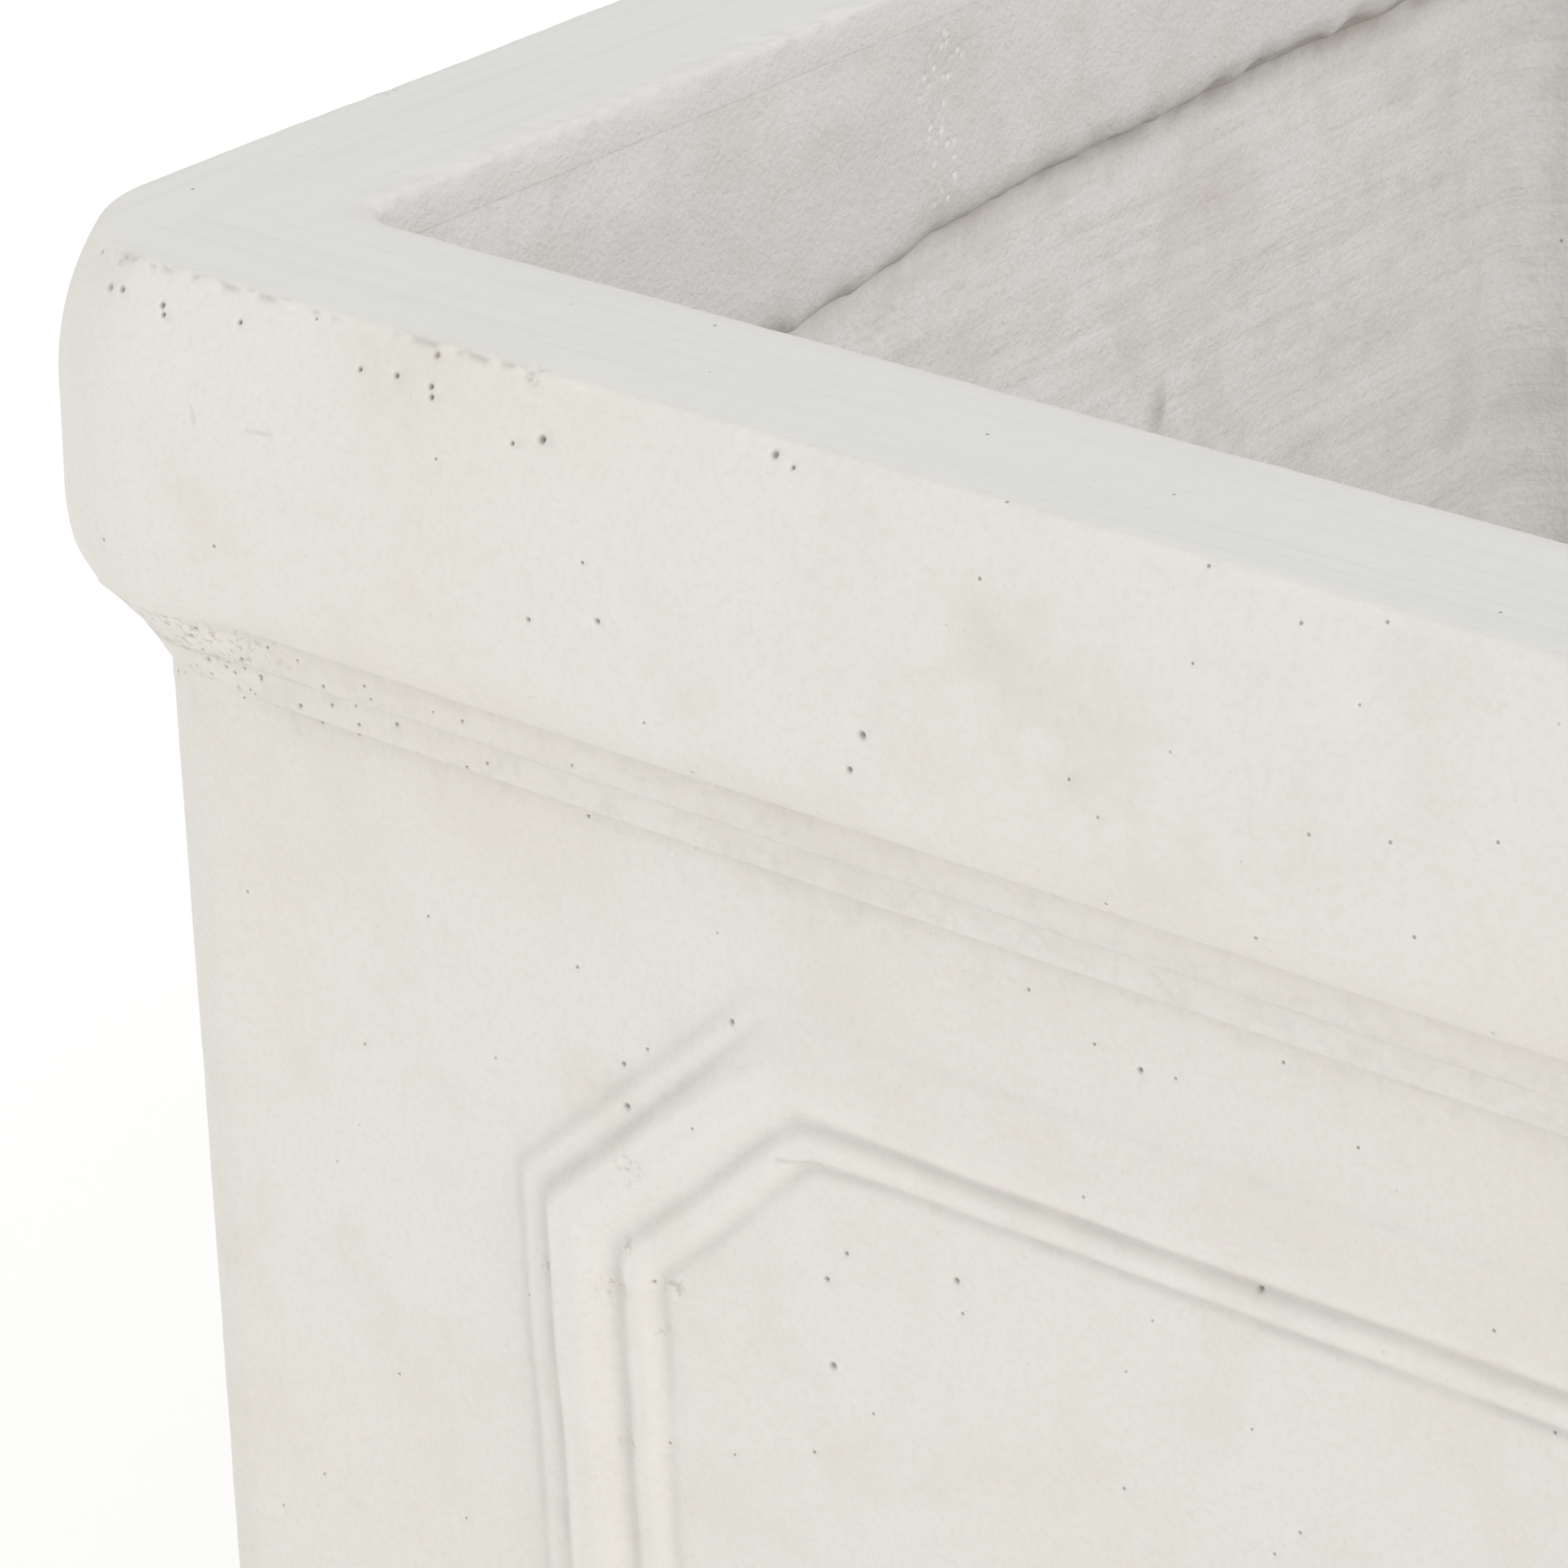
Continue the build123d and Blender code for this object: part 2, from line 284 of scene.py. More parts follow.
def insideBy(points, outline):
    # how far inside a rounded rectangle's box a place is, near enough for choosing places
    rounding = 15  # mm
    low, high = outline.min(0), outline.max(0)
    edge = np.minimum(points - low, high - points)
    corner = np.hypot(*(np.maximum(rounding - edge, 0)).T)
    return np.where(corner > 0, rounding - corner, edge.min(1))


def tube(x, y, radius, low, high):
    # wall of a drain hole, facing its middle
    count = holeFacets
    angle = np.linspace(0, 2 * math.pi, count, endpoint=False)
    ring = np.stack((x + radius * np.cos(angle), y + radius * np.sin(angle)), axis=1)
    points = np.concatenate([np.column_stack((ring, np.full(count, z))) for z in (low, high)])
    i = np.arange(count)
    j = (i + 1) % count
    return points, np.concatenate((np.stack((i, i + count, j), 1), np.stack((j, i + count, j + count), 1)))


def joined(parts):
    points, faces, count = [], [], 0
    for p, f in parts:
        points.append(p)
        faces.append(f + count)
        count += len(p)
    return np.concatenate(points), np.concatenate(faces)


def vertexNormals(points, faces):
    a, b, c = (points[faces[:, i]] for i in range(3))
    across = np.cross(b - a, c - a)
    normals = np.zeros_like(points)
    for i in range(3):
        np.add.at(normals, faces[:, i], across)
    return normals / np.maximum(np.linalg.norm(normals, axis=1, keepdims=True), 1e-12)


def makePiece(name, points, faces, material, attributes=None, normals=None):
    used = np.unique(faces)
    renumber = np.zeros(len(points), int)
    renumber[used] = np.arange(len(used))
    mesh = bpy.data.meshes.new(name)
    mesh.from_pydata((points[used] * mm).tolist(), [], renumber[faces].tolist())
    mesh.update()
    mesh.polygons.foreach_set("use_smooth", [True] * len(mesh.polygons))
    for key, values in (attributes or {}).items():
        layer = mesh.attributes.new(key, "FLOAT", "POINT")
        layer.data.foreach_set("value", values[used].astype(np.float32))
    if normals is not None:
        mesh.normals_split_custom_set_from_vertices(normals[used].tolist())
    mesh.materials.append(material)
    piece = bpy.data.objects.new(name, mesh)
    bpy.context.scene.collection.objects.link(piece)
    return piece


# Material tools
def colour(text):
    # sRGB hex to linear
    values = [int(text[i:i + 2], 16) / 255 for i in (1, 3, 5)]
    return tuple(c / 12.92 if c <= 0.04045 else ((c + 0.055) / 1.055) ** 2.4 for c in values) + (1.0,)


def newMaterial(name):
    material = bpy.data.materials.new(name)
    material.use_nodes = True
    material.node_tree.nodes.clear()
    return material


def addNode(material, kind, settings=None, links=None):
    # one node with its settings and links, both by the names that the node shows
    node = material.node_tree.nodes.new(kind)
    for key, value in (settings or {}).items():
        if isinstance(key, str) and hasattr(node, key):
            setattr(node, key, value)
        else:
            node.inputs[key].default_value = value
    for key, source in (links or {}).items():
        material.node_tree.links.new(source, node.inputs[key])
    return node


# Stone finishes. Each layer of colour: (mask, size of its lumps along x, y and z in mm, detail,
# noise from, noise to, strength, colour). Each bump: (mask, size in mm, detail, from, to, height in mm).
# Pinholes: (spacing in mm, radius in mm, share of them that shows, depth in mm, colour of the painted shade
# in them)
everywhere = (-1.0, 0.0)  # noise from and to that fill the whole mask

# White limestone mix, cast wet against a smooth mould and washed: an even matt skin with clouds where the
# slurry dried unevenly, a fine sand grain, pinholes left by air with painted shade in them, grey dust in the
# hollows, and painted shade in the creases and under the cornice's ledges.
faceLook = {
    "base": "#DBD8D2",
    "roughness": (0.76, 0.92),
    "layers": [
        (None, (90, 90, 90), 3, 0.40, 0.64, 0.55, "#D8D4CC"),
        (None, (14, 14, 14), 5, 0.50, 0.72, 0.40, "#D2CEC6"),
        (None, (0.9, 0.9, 0.9), 2, 0.45, 0.75, 0.25, "#C8C3B9"),  # sand is 0.3 mm, drawn at 0.9 to show
        (None, (0.8, 0.8, 0.8), 3, 0.70, 0.77, 0.35, "#A9A398"),  # grit marks and specks
        # a cooler tint over the rim top: painted cooler light from above
        ("floatedAndCoolLight", (40, 40, 40), 2, *everywhere, 0.80, "#DBDBD8"),
        ("floatedAlongX", (70, 1.6, 20), 3, 0.46, 0.72, 0.35, "#CFCFCC"),
        ("floatedAlongY", (1.6, 70, 20), 3, 0.46, 0.72, 0.35, "#CFCFCC"),
        ("stain", (6, 6, 6), 4, 0.36, 0.66, 0.60, "#CBC7BC"),
        ("dust", (2.6, 2.6, 2.6), 4, 0.52, 0.68, 0.18, "#BBB8B1"),
        # painted shade in the moulding's creases and under the cornice's ledges
        ("paintedShade", (9, 9, 9), 3, 0.10, 0.60, 0.55, "#B6B3AD"),
        ("throat", (40, 40, 40), 2, *everywhere, 0.85, "#D8D7D4"),
        # lighter edges: the worn arris and moulding crests, and a painted highlight along the cornice's
        # first fillet
        ("wearAndHighlight", (9, 9, 9), 3, 0.35, 0.60, 0.30, "#E6E3DC"),
        ("rough", (1.0, 1.0, 1.0), 3, 0.52, 0.64, 0.50, "#A49F98"),
        # painted shade in the pinholes, the scratches and the nibbled arris
        ("pitShade", (1, 1, 1), 0, *everywhere, 0.70, "#96908A"),
    ],
    "bumps": [
        (None, (0.7, 0.7, 0.7), 2, 0.2, 0.8, 0.03),
        (None, (3.2, 3.2, 3.2), 3, 0.2, 0.8, 0.06),
        ("throat", (0.9, 0.9, 0.9), 3, 0.2, 0.8, 0.16),
        ("throat", (3.0, 3.0, 3.0), 3, 0.2, 0.8, 0.14),
    ],
    # the pinholes' colour is painted shade in the holes
    "pinholes": [(4.2, 0.2, 0.30, 0.12, "#A39E95")],
}

# Coarser limestone and sharp sand mix, pressed in by hand and trowelled: greyer, mottled grey and brown
# where it dried at different speeds, gritty, with light grains standing out and long trowel drags.
backingLook = {
    "base": "#DCDBD9",
    "roughness": (0.82, 0.96),
    "layers": [
        (None, (55, 55, 55), 3, 0.40, 0.66, 0.45, "#D2D0CC"),
        (None, (12, 12, 12), 4, 0.48, 0.70, 0.45, "#CFCBC5"),
        ("trowelled", (60, 60, 60), 2, *everywhere, 0.85, "#E6E5E2"),
        (None, (28, 28, 28), 4, 0.55, 0.70, 0.40, "#D3CAC2"),
        (None, (1.1, 1.1, 1.1), 2, 0.45, 0.75, 0.25, "#C6C2BC"),  # sand is 0.5 mm, drawn at 1.1 to show
        ("trowelled", (9, 9, 9), 4, 0.50, 0.68, 0.35, "#CDC8C1"),
        ("trowelled", (45, 45, 3.6), 3, 0.47, 0.70, 0.25, "#CFCBC5"),
        ("grit", (1, 1, 1), 0, *everywhere, 0.8, "#F2F1ED"),
        # painted shade under the band's lip, where the backing meets the band, and in the knock
        ("paintedShade", (7, 7, 7), 3, 0.15, 0.55, 0.75, "#ADA79E"),
    ],
    "bumps": [
        (None, (0.9, 0.9, 0.9), 3, 0.2, 0.8, 0.16),
        (None, (3.0, 3.0, 3.0), 3, 0.2, 0.8, 0.14),
        ("trowelled", (45, 45, 3.6), 3, 0.2, 0.8, 0.32),
    ],
    # the pinholes' colour is painted shade in the holes
    "pinholes": [(4.4, 0.25, 0.3, 0.15, "#ABA59C")],
}


def castStone(name, look):
    m = newMaterial(name)
    place = addNode(m, "ShaderNodeTexCoord").outputs["Object"]

    def lumpy(mask, size, detail, low, high, strength, number):
        scale = [1 / (k * mm) for k in size]
        where = addNode(m, "ShaderNodeVectorMath",
                        {"operation": "MULTIPLY_ADD", 1: scale, 2: [3.7 * number] * 3}, {0: place})
        noise = addNode(m, "ShaderNodeTexNoise", {"Scale": 1.0, "Detail": detail, "Roughness": 0.55},
                        {"Vector": where.outputs[0]})
        amount = addNode(m, "ShaderNodeMapRange", {"From Min": low, "From Max": high, "To Max": strength},
                         {"Value": noise.outputs[0]}).outputs[0]
        if mask:
            shown = addNode(m, "ShaderNodeAttribute", {"attribute_name": mask}).outputs["Fac"]
            amount = addNode(m, "ShaderNodeMath", {"operation": "MULTIPLY"},
                             {0: amount, 1: shown}).outputs[0]
        return amount

    masks = [(lumpy(*layer[:-1], number), layer[-1])
             for number, layer in enumerate(look["layers"], 1)]
    dips = []
    for spacing, radius, share, depth, tone in look["pinholes"]:
        cells = addNode(m, "ShaderNodeTexVoronoi", {"Scale": 1 / (spacing * mm)}, {"Vector": place})
        reach = radius / spacing
        hollow = addNode(m, "ShaderNodeMapRange",
                         {"From Min": 0.6 * reach, "From Max": 1.3 * reach, "To Min": 1.0, "To Max": 0.0},
                         {"Value": cells.outputs["Distance"]})
        draw = addNode(m, "ShaderNodeSeparateColor", links={"Color": cells.outputs["Color"]})
        chosen = addNode(m, "ShaderNodeMath", {"operation": "LESS_THAN", 1: share}, {0: draw.outputs[0]})
        hole = addNode(m, "ShaderNodeMath", {"operation": "MULTIPLY"},
                       {0: hollow.outputs[0], 1: chosen.outputs[0]}).outputs[0]
        # the hole's colour is painted shade in it
        masks.append((hole, tone))
        dips.append((hole, depth))

    tint = None
    for amount, tone in masks:
        links = {0: amount} if tint is None else {0: amount, 6: tint}
        tint = addNode(m, "ShaderNodeMix", {"data_type": "RGBA", 6: colour(look["base"]), 7: colour(tone)},
                       links).outputs[2]
    normal = None
    firstBump = 31  # keeps the bumps' noise apart from the layers'
    heights = [(lumpy(*bump[:-1], 1.0, number), bump[-1], False)
               for number, bump in enumerate(look["bumps"], firstBump)]
    heights += [(hole, depth, True) for hole, depth in dips]
    for amount, height, inward in heights:
        links = {"Height": amount} if normal is None else {"Height": amount, "Normal": normal}
        normal = addNode(m, "ShaderNodeBump", {"Distance": height * mm, "invert": inward}, links).outputs[0]
    low, high = look["roughness"]
    dull = addNode(m, "ShaderNodeMapRange", {"From Max": 1.0, "To Min": high, "To Max": low},
                   {"Value": masks[0][0]})
    shader = addNode(m, "ShaderNodeBsdfPrincipled", {"IOR": 1.5},
                     {"Base Color": tint, "Roughness": dull.outputs[0], "Normal": normal})
    addNode(m, "ShaderNodeOutputMaterial", links={"Surface": shader.outputs[0]})
    return m


faceMix = castStone("castStoneFace", faceLook)
backingMix = castStone("castStoneBacking", backingLook)

# Face coat
face = {
    "soften": 0.6,  # mm, rounding of the mould's edges
    "mouthEdge": 1.2,  # mm, hand-rubbed rounding of the mouth
    "crumble": 0.9,  # mm, how rough that edge is
    "windowEnd": 118.0,  # mm from the corner that are meshed finely along the left end
    "windowFront": 212.0,  # and along the front
    "windowDrop": 184.0,
    "fine": 2.0,  # mm, mesh of flat stone in the window
    "coarse": 8.0,  # and elsewhere
    "fineTurn": 11.0,  # degrees of bend between rows in the window
    "coarseTurn": 15.0,
    "swellTurn": 6.0,  # the same on the swelling fascia, whose outline shows
    "stepUp": 0.8,  # mm that the lowest step of the cornice has worn up the wall
    # the worn slope that takes the steps' place at the corners: how far out it stands at each drop
    "cornerDrops": (33.0, 36.2, 38.3, 40.8, 42.6, 44.3, 46.8, 50.3, 53.5),
    "cornerOuts": (5.7, 5.4, 5.0, 3.8, 2.5, 1.1, -1.35, -3.7, -6.0),
    "edgeStep": 0.9,  # mm along the arris and the cornice in the window
    "edgeRow": 0.6,  # and across them
    # columns of the mesh round one corner: elsewhere, in the window, and along the arris and the cornice
    "cornerColumns": (10, 18, 36),
    "cornerReach": 9.0,  # mm from a corner over which the slope runs out into the steps
    "ledgeShade": (0.4, 1.0, 0.7),  # painted shade under the cornice's three ledges, from the top
}
panel = {
    "side": 58.3,
    "topGap": 16.5,
    "bottomGap": 40.0,
    "across": 35.0,
    "down": 32.5,
    "low": -1.6,  # first and last row of the moulding, from its outer foot
    "high": 21.5,
    "ringSteps": (1.0, 8.0, 0.6, 1.3),  # mm, mesh along it in and out of the window, and across it
    "cornerSoft": 1.6,  # mm over which the moulding's corners are rounded
    # each step of the moulding: where it is from the outer foot, how wide, how far it rises,
    # and the same three on the level runs, where the mould has lost its outer edge
    "steps": [
        (0.4, 1.6, 0.75, 0.4, 4.0, 0.2),
        (4.9, 1.9, 1.5, 5.5, 8.5, 1.2),
        (11.6, 5.2, -1.9, 12.4, 1.9, -1.2),
        (15.0, 1.6, 0.8, 14.2, 1.4, 0.9),
        (18.9, 2.6, -1.25, 17.2, 1.6, -1.2),
    ],
    "wobble": 0.4,  # mm that its lines stray
}


def faceSection():
    c = casting
    hollow = c["wallInset"] + c["coat"]
    corners = [
        (hollow + (coatDrop - wallDrop) * lean, 3.0, coatDrop),
        (hollow + (c["bandDrop"] - wallDrop) * lean, 9.0, c["bandDrop"]),
        (c["bandCover"], arrisRadius - c["bandCover"], c["bandDrop"]),
        (c["bandCover"], arrisRadius - c["bandCover"], c["rimCap"]),
        (c["rimWidth"], c["mouthRadius"], c["rimCap"]),
    ]
    edge = face["mouthEdge"]
    corners += [(c["rimWidth"] - edge * (1 - math.cos(a)), c["mouthRadius"], edge * (1 - math.sin(a)))
                for a in np.linspace(0, math.pi / 2, 6)]
    most, start, end = c["fasciaSwell"], c["swellStart"], c["swellEnd"]
    arcRadius = (most ** 2 + start ** 2) / (2 * most)
    outline = [(most - arcRadius + math.sqrt(arcRadius ** 2 - (start - drop) ** 2), drop)
               for drop in np.linspace(0, start, 20)]
    outline += [(-c["ovoloInset"] + (most + c["ovoloInset"]) * math.cos(a),
                 end + (c["ovoloDrop"] - end) * math.sin(a)) for a in np.linspace(0, math.pi / 2, 16)]
    step = c["filletStep"]
    out = -c["ovoloInset"] - step
    wallFoot = c["wallInset"] + (baseDrop - wallDrop) * lean
    outline += [(out, c["ovoloDrop"]), (out, c["filletDrop"]), (out - step, c["filletDrop"]),
                (out - step, wallDrop - face["stepUp"]), (-c["wallInset"], wallDrop - face["stepUp"]),
                (-wallFoot, baseDrop), (-wallFoot - 7.0, baseDrop)]
    capMark, arrisMark = 4, len(corners)
    corners += [(-out, max(arrisRadius + out, 0.5), drop) for out, drop in outline]
    sharp = makeSection(corners, face["soften"])["marks"]
    section = makeSection(corners, face["soften"], sharp[capMark])
    ovolo = arrisMark + 35  # last point of the ovolo; the two fillets and the wall follow it
    section.update(cap=sharp[capMark], mouth=sharp[capMark + 3], arris=sharp[arrisMark], ovolo=sharp[ovolo],
                   cornice=sharp[ovolo + 5] + face["stepUp"], foot=sharp[ovolo + 6], hidden=sharp[:capMark],
                   ledges=[(sharp[ovolo + k] + sharp[ovolo + k + 1]) / 2 for k in (0, 2, 4)])
    return section


def placeOnFace(section, x, drop, end=False):
    # (s, v) of a spot on the outside: x from the left front corner along the front, or along the left end
    bend = arrisRadius * np.arcsin(np.clip((arrisRadius - x) / arrisRadius, 0, 1))
    if end:
        s = stretchStart[3] - np.maximum(x - arrisRadius, 0) + bend
    else:
        s = stretchStart[4] + np.maximum(x - arrisRadius, 0) - bend
    below = section["v"] >= section["arris"]
    return s, np.interp(drop, section["drop"][below], section["v"][below])


def panelEdges(wall):
    # inward normals and offsets of the moulding's eight sides, on the wall's own plane
    halfWall = (halfX if wall % 4 == 0 else halfY) - casting["wallInset"]
    top, bottom = -panel["topGap"], -(baseDrop - wallDrop - panel["bottomGap"])
    halfTop = halfWall - panel["side"] + top * lean
    halfBottom = halfWall - panel["side"] + bottom * lean
    across, down = panel["across"], panel["down"]
    corners = np.array([(-halfTop + across, top), (halfTop - across, top), (halfTop, top - down),
                        (halfBottom, bottom + down), (halfBottom - across, bottom),
                        (-halfBottom + across, bottom), (-halfBottom, bottom + down),
                        (-halfTop, top - down)])
    way = np.roll(corners, -1, axis=0) - corners
    way /= np.linalg.norm(way, axis=1, keepdims=True)
    normals = np.stack((way[:, 1], -way[:, 0]), axis=1)
    return normals, (normals * corners).sum(1)


def levelShare(places, wall):
    # 1 beside the moulding's level runs and 0 beside its slanting and upright ones
    normals, offsets = panelEdges(wall)
    distance = places @ normals.T - offsets
    near = np.exp(-(distance - distance.min(1, keepdims=True)) / 4.0)
    return (near * (np.abs(normals[:, 1]) > 0.95)).sum(1) / near.sum(1)


def panelInset(places, wall):
    # distance in from the moulding's outer foot, rounded at the corners
    normals, offsets = panelEdges(wall)
    distance = np.sort(places @ normals.T - offsets, axis=1)
    near = np.maximum(panel["cornerSoft"] - (distance[:, 1] - distance[:, 0]), 0)
    return distance[:, 0] - near ** 2 / (4 * panel["cornerSoft"])


def panelRings(wall, inWindow, fineStep, coarseStep, fineRow, coarseRow):
    # places along the moulding, ring inside ring
    normals, offsets = panelEdges(wall)

    def ring(inset):
        found = []
        for j in range(8):
            pair = [j - 1, j]
            found.append(np.linalg.solve(normals[pair], offsets[pair] + inset))
        return np.array(found)

    middle = ring((panel["low"] + panel["high"]) / 2)
    places = []
    for fine in (True, False):
        row = fineRow if fine else coarseRow
        for inset in spaced(panel["low"], panel["high"], row):
            corners = ring(inset)
            for j in range(8):
                length = np.linalg.norm(middle[(j + 1) % 8] - middle[j])
                for t in spaced(0, length, fineStep if fine else coarseStep)[:-1] / length:
                    there = middle[j] + (middle[(j + 1) % 8] - middle[j]) * t
                    if inWindow(there) == fine:
                        places.append((*(corners[j] + (corners[(j + 1) % 8] - corners[j]) * t), inset))
    places = np.array(places)
    q, inset = places[:, :2], places[:, 2]
    for _ in range(4):
        value = panelInset(q, wall)
        slope = np.stack([(panelInset(q + d, wall) - value) / 0.01 for d in np.eye(2) * 0.01], axis=1)
        q = q + slope * ((inset - value) / np.maximum((slope ** 2).sum(1), 0.2))[:, None]
    return q


print("face coat: mesh")
faceCut = faceSection()
windowLow, _ = placeOnFace(faceCut, face["windowEnd"], 0, end=True)
windowHigh, windowFoot = placeOnFace(faceCut, face["windowFront"], face["windowDrop"])

# Blemishes that the casting shows near its left front corner: (along the front, drop, radius, depth)
pinholes = [
    (14.4, 4.0, 0.5, 0.3), (16.3, 3.7, 0.35, 0.8), (22.5, 4.0, 0.35, 0.8), (23.0, 4.9, 0.3, 0.7),
    (34.0, 3.5, 0.3, 0.6), (52.1, 4.7, 0.3, 0.5), (57.2, 4.3, 0.35, 0.6), (62.2, 4.4, 0.35, 0.6),
    (62.6, 5.4, 0.35, 0.6), (61.7, 1.3, 0.5, 0.4), (78.4, 6.4, 0.5, 0.9), (78.1, 26.7, 0.3, 0.4),
    (87.7, 24.4, 0.35, 0.5), (108.0, 1.6, 0.5, 0.6), (110.7, 2.3, 0.3, 0.4), (123.0, 28.1, 0.5, 0.6),
    (121.4, 32.5, 0.4, 0.5), (96.6, 74.7, 0.35, 0.6), (80.4, 85.4, 0.3, 0.5), (81.3, 90.3, 0.45, 0.6),
    (127.0, 97.7, 0.4, 0.5), (109.0, 103.8, 0.35, 0.5), (111.8, 99.5, 0.3, 0.4), (166.9, 84.6, 0.4, 0.5),
    (109.7, 114.9, 0.5, 0.5),
]
# Rougher spots: (along, drop, reach, depth, on the left end)
roughSpots = [
    (23.0, 45.5, 19.0, 0.25, False), (8.0, 45.5, 14.0, 0.2, False), (14.6, 0.9, 1.8, 0.7, False),
    (75.0, 0.6, 2.4, 0.5, False), (60.8, 1.0, 5.0, 0.6, True), (52.0, 2.0, 3.0, 0.4, True),
    (80.3, 109.0, 2.6, 0.6, False), (78.8, 115.0, 3.4, 0.6, False), (87.0, 112.6, 2.6, 0.5, False),
    (85.5, 119.0, 2.0, 0.4, False), (80.0, 136.0, 2.2, 0.4, False), (69.0, 115.5, 2.0, 0.3, False),
    (82.5, 97.5, 3.2, 0.35, False),
]
# Hairlines and knife marks: (from along, drop, to along, drop, half width, depth)
scratches = [
    (103.1, 89.8, 108.8, 88.9, 0.2, 0.15),
    (37.5, 14.6, 41.0, 14.2, 0.2, 0.06),
    (29.0, 13.6, 29.6, 15.4, 0.2, 0.06),
]
# Greyer patches: (along, drop, reach, strength, on the left end)
stains = [
    (140.0, 14.0, 9.0, 0.9, False), (150.0, 22.0, 11.0, 0.8, False), (158.0, 29.0, 9.0, 0.7, False),
    (108.0, 50.0, 12.0, 0.9, False), (30.0, 52.0, 12.0, 0.8, False), (60.0, 5.0, 9.0, 0.5, False),
]
weather = {
    "randomPinholes": 70,
    "corniceHoles": 80,
    "pinholeRadius": (0.18, 0.38),
    "wave": 0.28,  # mm, slow waviness of the casting
    "skin": 0.035,  # mm, fine unevenness
    "nibble": 0.25,  # mm bitten out of the arris near the corner
    "roughAcross": 8.0,  # mm, most that a rough spot reaches up and down
    "seed": 7,
}


def wallPlaces(s, v, wall):
    centre = stretchStart[wall] + stretch[wall] / 2
    return np.stack((s - centre, faceCut["cornice"] - v), axis=1)


def allPinholes():
    # the ones that stand out, then small ones at random over the window
    found = [(*placeOnFace(faceCut, x, drop), radius, depth) for x, drop, radius, depth in pinholes]
    rng = np.random.default_rng(weather["seed"])
    small, large = weather["pinholeRadius"]
    for _ in range(weather["randomPinholes"]):
        s = rng.uniform(windowLow + 3, windowHigh - 3)
        v = rng.uniform(faceCut["arris"] + 1, windowFoot - 3)
        radius = small + (large - small) * rng.random() ** 3
        found.append((s, v, radius, radius * rng.uniform(0.9, 1.6)))
    for _ in range(weather["corniceHoles"]):
        # more of them in the cornice, most near the corner
        s = stretchStart[4] + rng.uniform(-14, 16) + 60 * rng.random() ** 3
        v = rng.uniform(faceCut["ovolo"] - 1, faceCut["cornice"] + 1)
        found.append((s, v, rng.uniform(0.14, 0.3), rng.uniform(0.15, 0.4)))
    return np.array(found)


def spotPlaces(spots):
    return [(*placeOnFace(faceCut, x, drop, end), reach, depth) for x, drop, reach, depth, end in spots]


def facePlaces(holes):
    cut = faceCut
    coarseCorner, fineCorner, edgeCorner = face["cornerColumns"]
    rows = rowsAlong(cut, cut["cap"], cut["v"][-1], face["coarse"], face["coarseTurn"])
    points = grid(np.concatenate((cut["hidden"], rows)), columnsAround(face["coarse"], coarseCorner))
    points = relay(points, (windowLow, windowHigh, cut["cap"], windowFoot),
                   rowsAlong(cut, cut["cap"], windowFoot, face["fine"], face["swellTurn"]),
                   columnsAround(face["fine"], fineCorner, windowLow, windowHigh))
    for low, high in ((cut["cap"], cut["mouth"] + 4), (cut["arris"] - 2.5, cut["arris"] + 3.5),
                      (cut["ovolo"] - 3, cut["cornice"] + 2.5)):
        points = relay(points, (windowLow, windowHigh, low, high),
                       rowsAlong(cut, low, high, face["edgeRow"], face["fineTurn"]),
                       columnsAround(face["edgeStep"], edgeCorner, windowLow, windowHigh))
    rings = []
    for wall in (0, 2, 4, 6):
        on = (points[:, 0] > stretchStart[wall]) & (points[:, 0] < stretchStart[wall + 1])
        on &= points[:, 1] > cut["cornice"]
        inset = np.full(len(points), -99.0)
        inset[on] = panelInset(wallPlaces(points[on, 0], points[on, 1], wall), wall)
        points = points[(inset < panel["low"] - 0.6) | (inset > panel["high"] + 0.6)]
        centre = stretchStart[wall] + stretch[wall] / 2

        def inWindow(q):
            return windowLow < centre + q[0] < windowHigh and cut["cornice"] - q[1] < windowFoot

        q = panelRings(wall, inWindow, *panel["ringSteps"])
        rings.append(np.stack((q[:, 0] + centre, cut["cornice"] - q[:, 1]), axis=1))
    points = np.concatenate([points] + rings)
    for startX, startDrop, endX, endDrop, halfWidth, depth in scratches:
        (s0, v0), (s1, v1) = placeOnFace(cut, startX, startDrop), placeOnFace(cut, endX, endDrop)
        window = (min(s0, s1) - 1, max(s0, s1) + 1, min(v0, v1) - 1, max(v0, v1) + 1)
        points = patch(points, window, 0.3, 0.3)
    for s, v, reach, depth in spotPlaces(roughSpots):
        size = np.clip(reach / 9, 0.45, 0.7)
        across = min(reach, weather["roughAcross"])
        points = patch(points, (s - reach, s + reach, v - across, v + across), size, size)
    rims = []
    for s, v, radius, depth in holes:
        near = np.nonzero(np.abs(points[:, 1] - v) < 1.6 * radius)[0]
        near = near[np.hypot(points[near, 0] - s, points[near, 1] - v) < 1.6 * radius]
        points = np.delete(points, near, axis=0)
        angle = np.linspace(0, 2 * math.pi, 7, endpoint=False)
        for share in (0.45, 0.95, 1.45):
            along = share * radius * np.cos(angle + share)
            down = share * radius * np.sin(angle + share)
            rims.append(np.stack((s + along, v + down), axis=1))
        rims.append(np.array([[s, v]]))
    return np.concatenate([points] + rims)


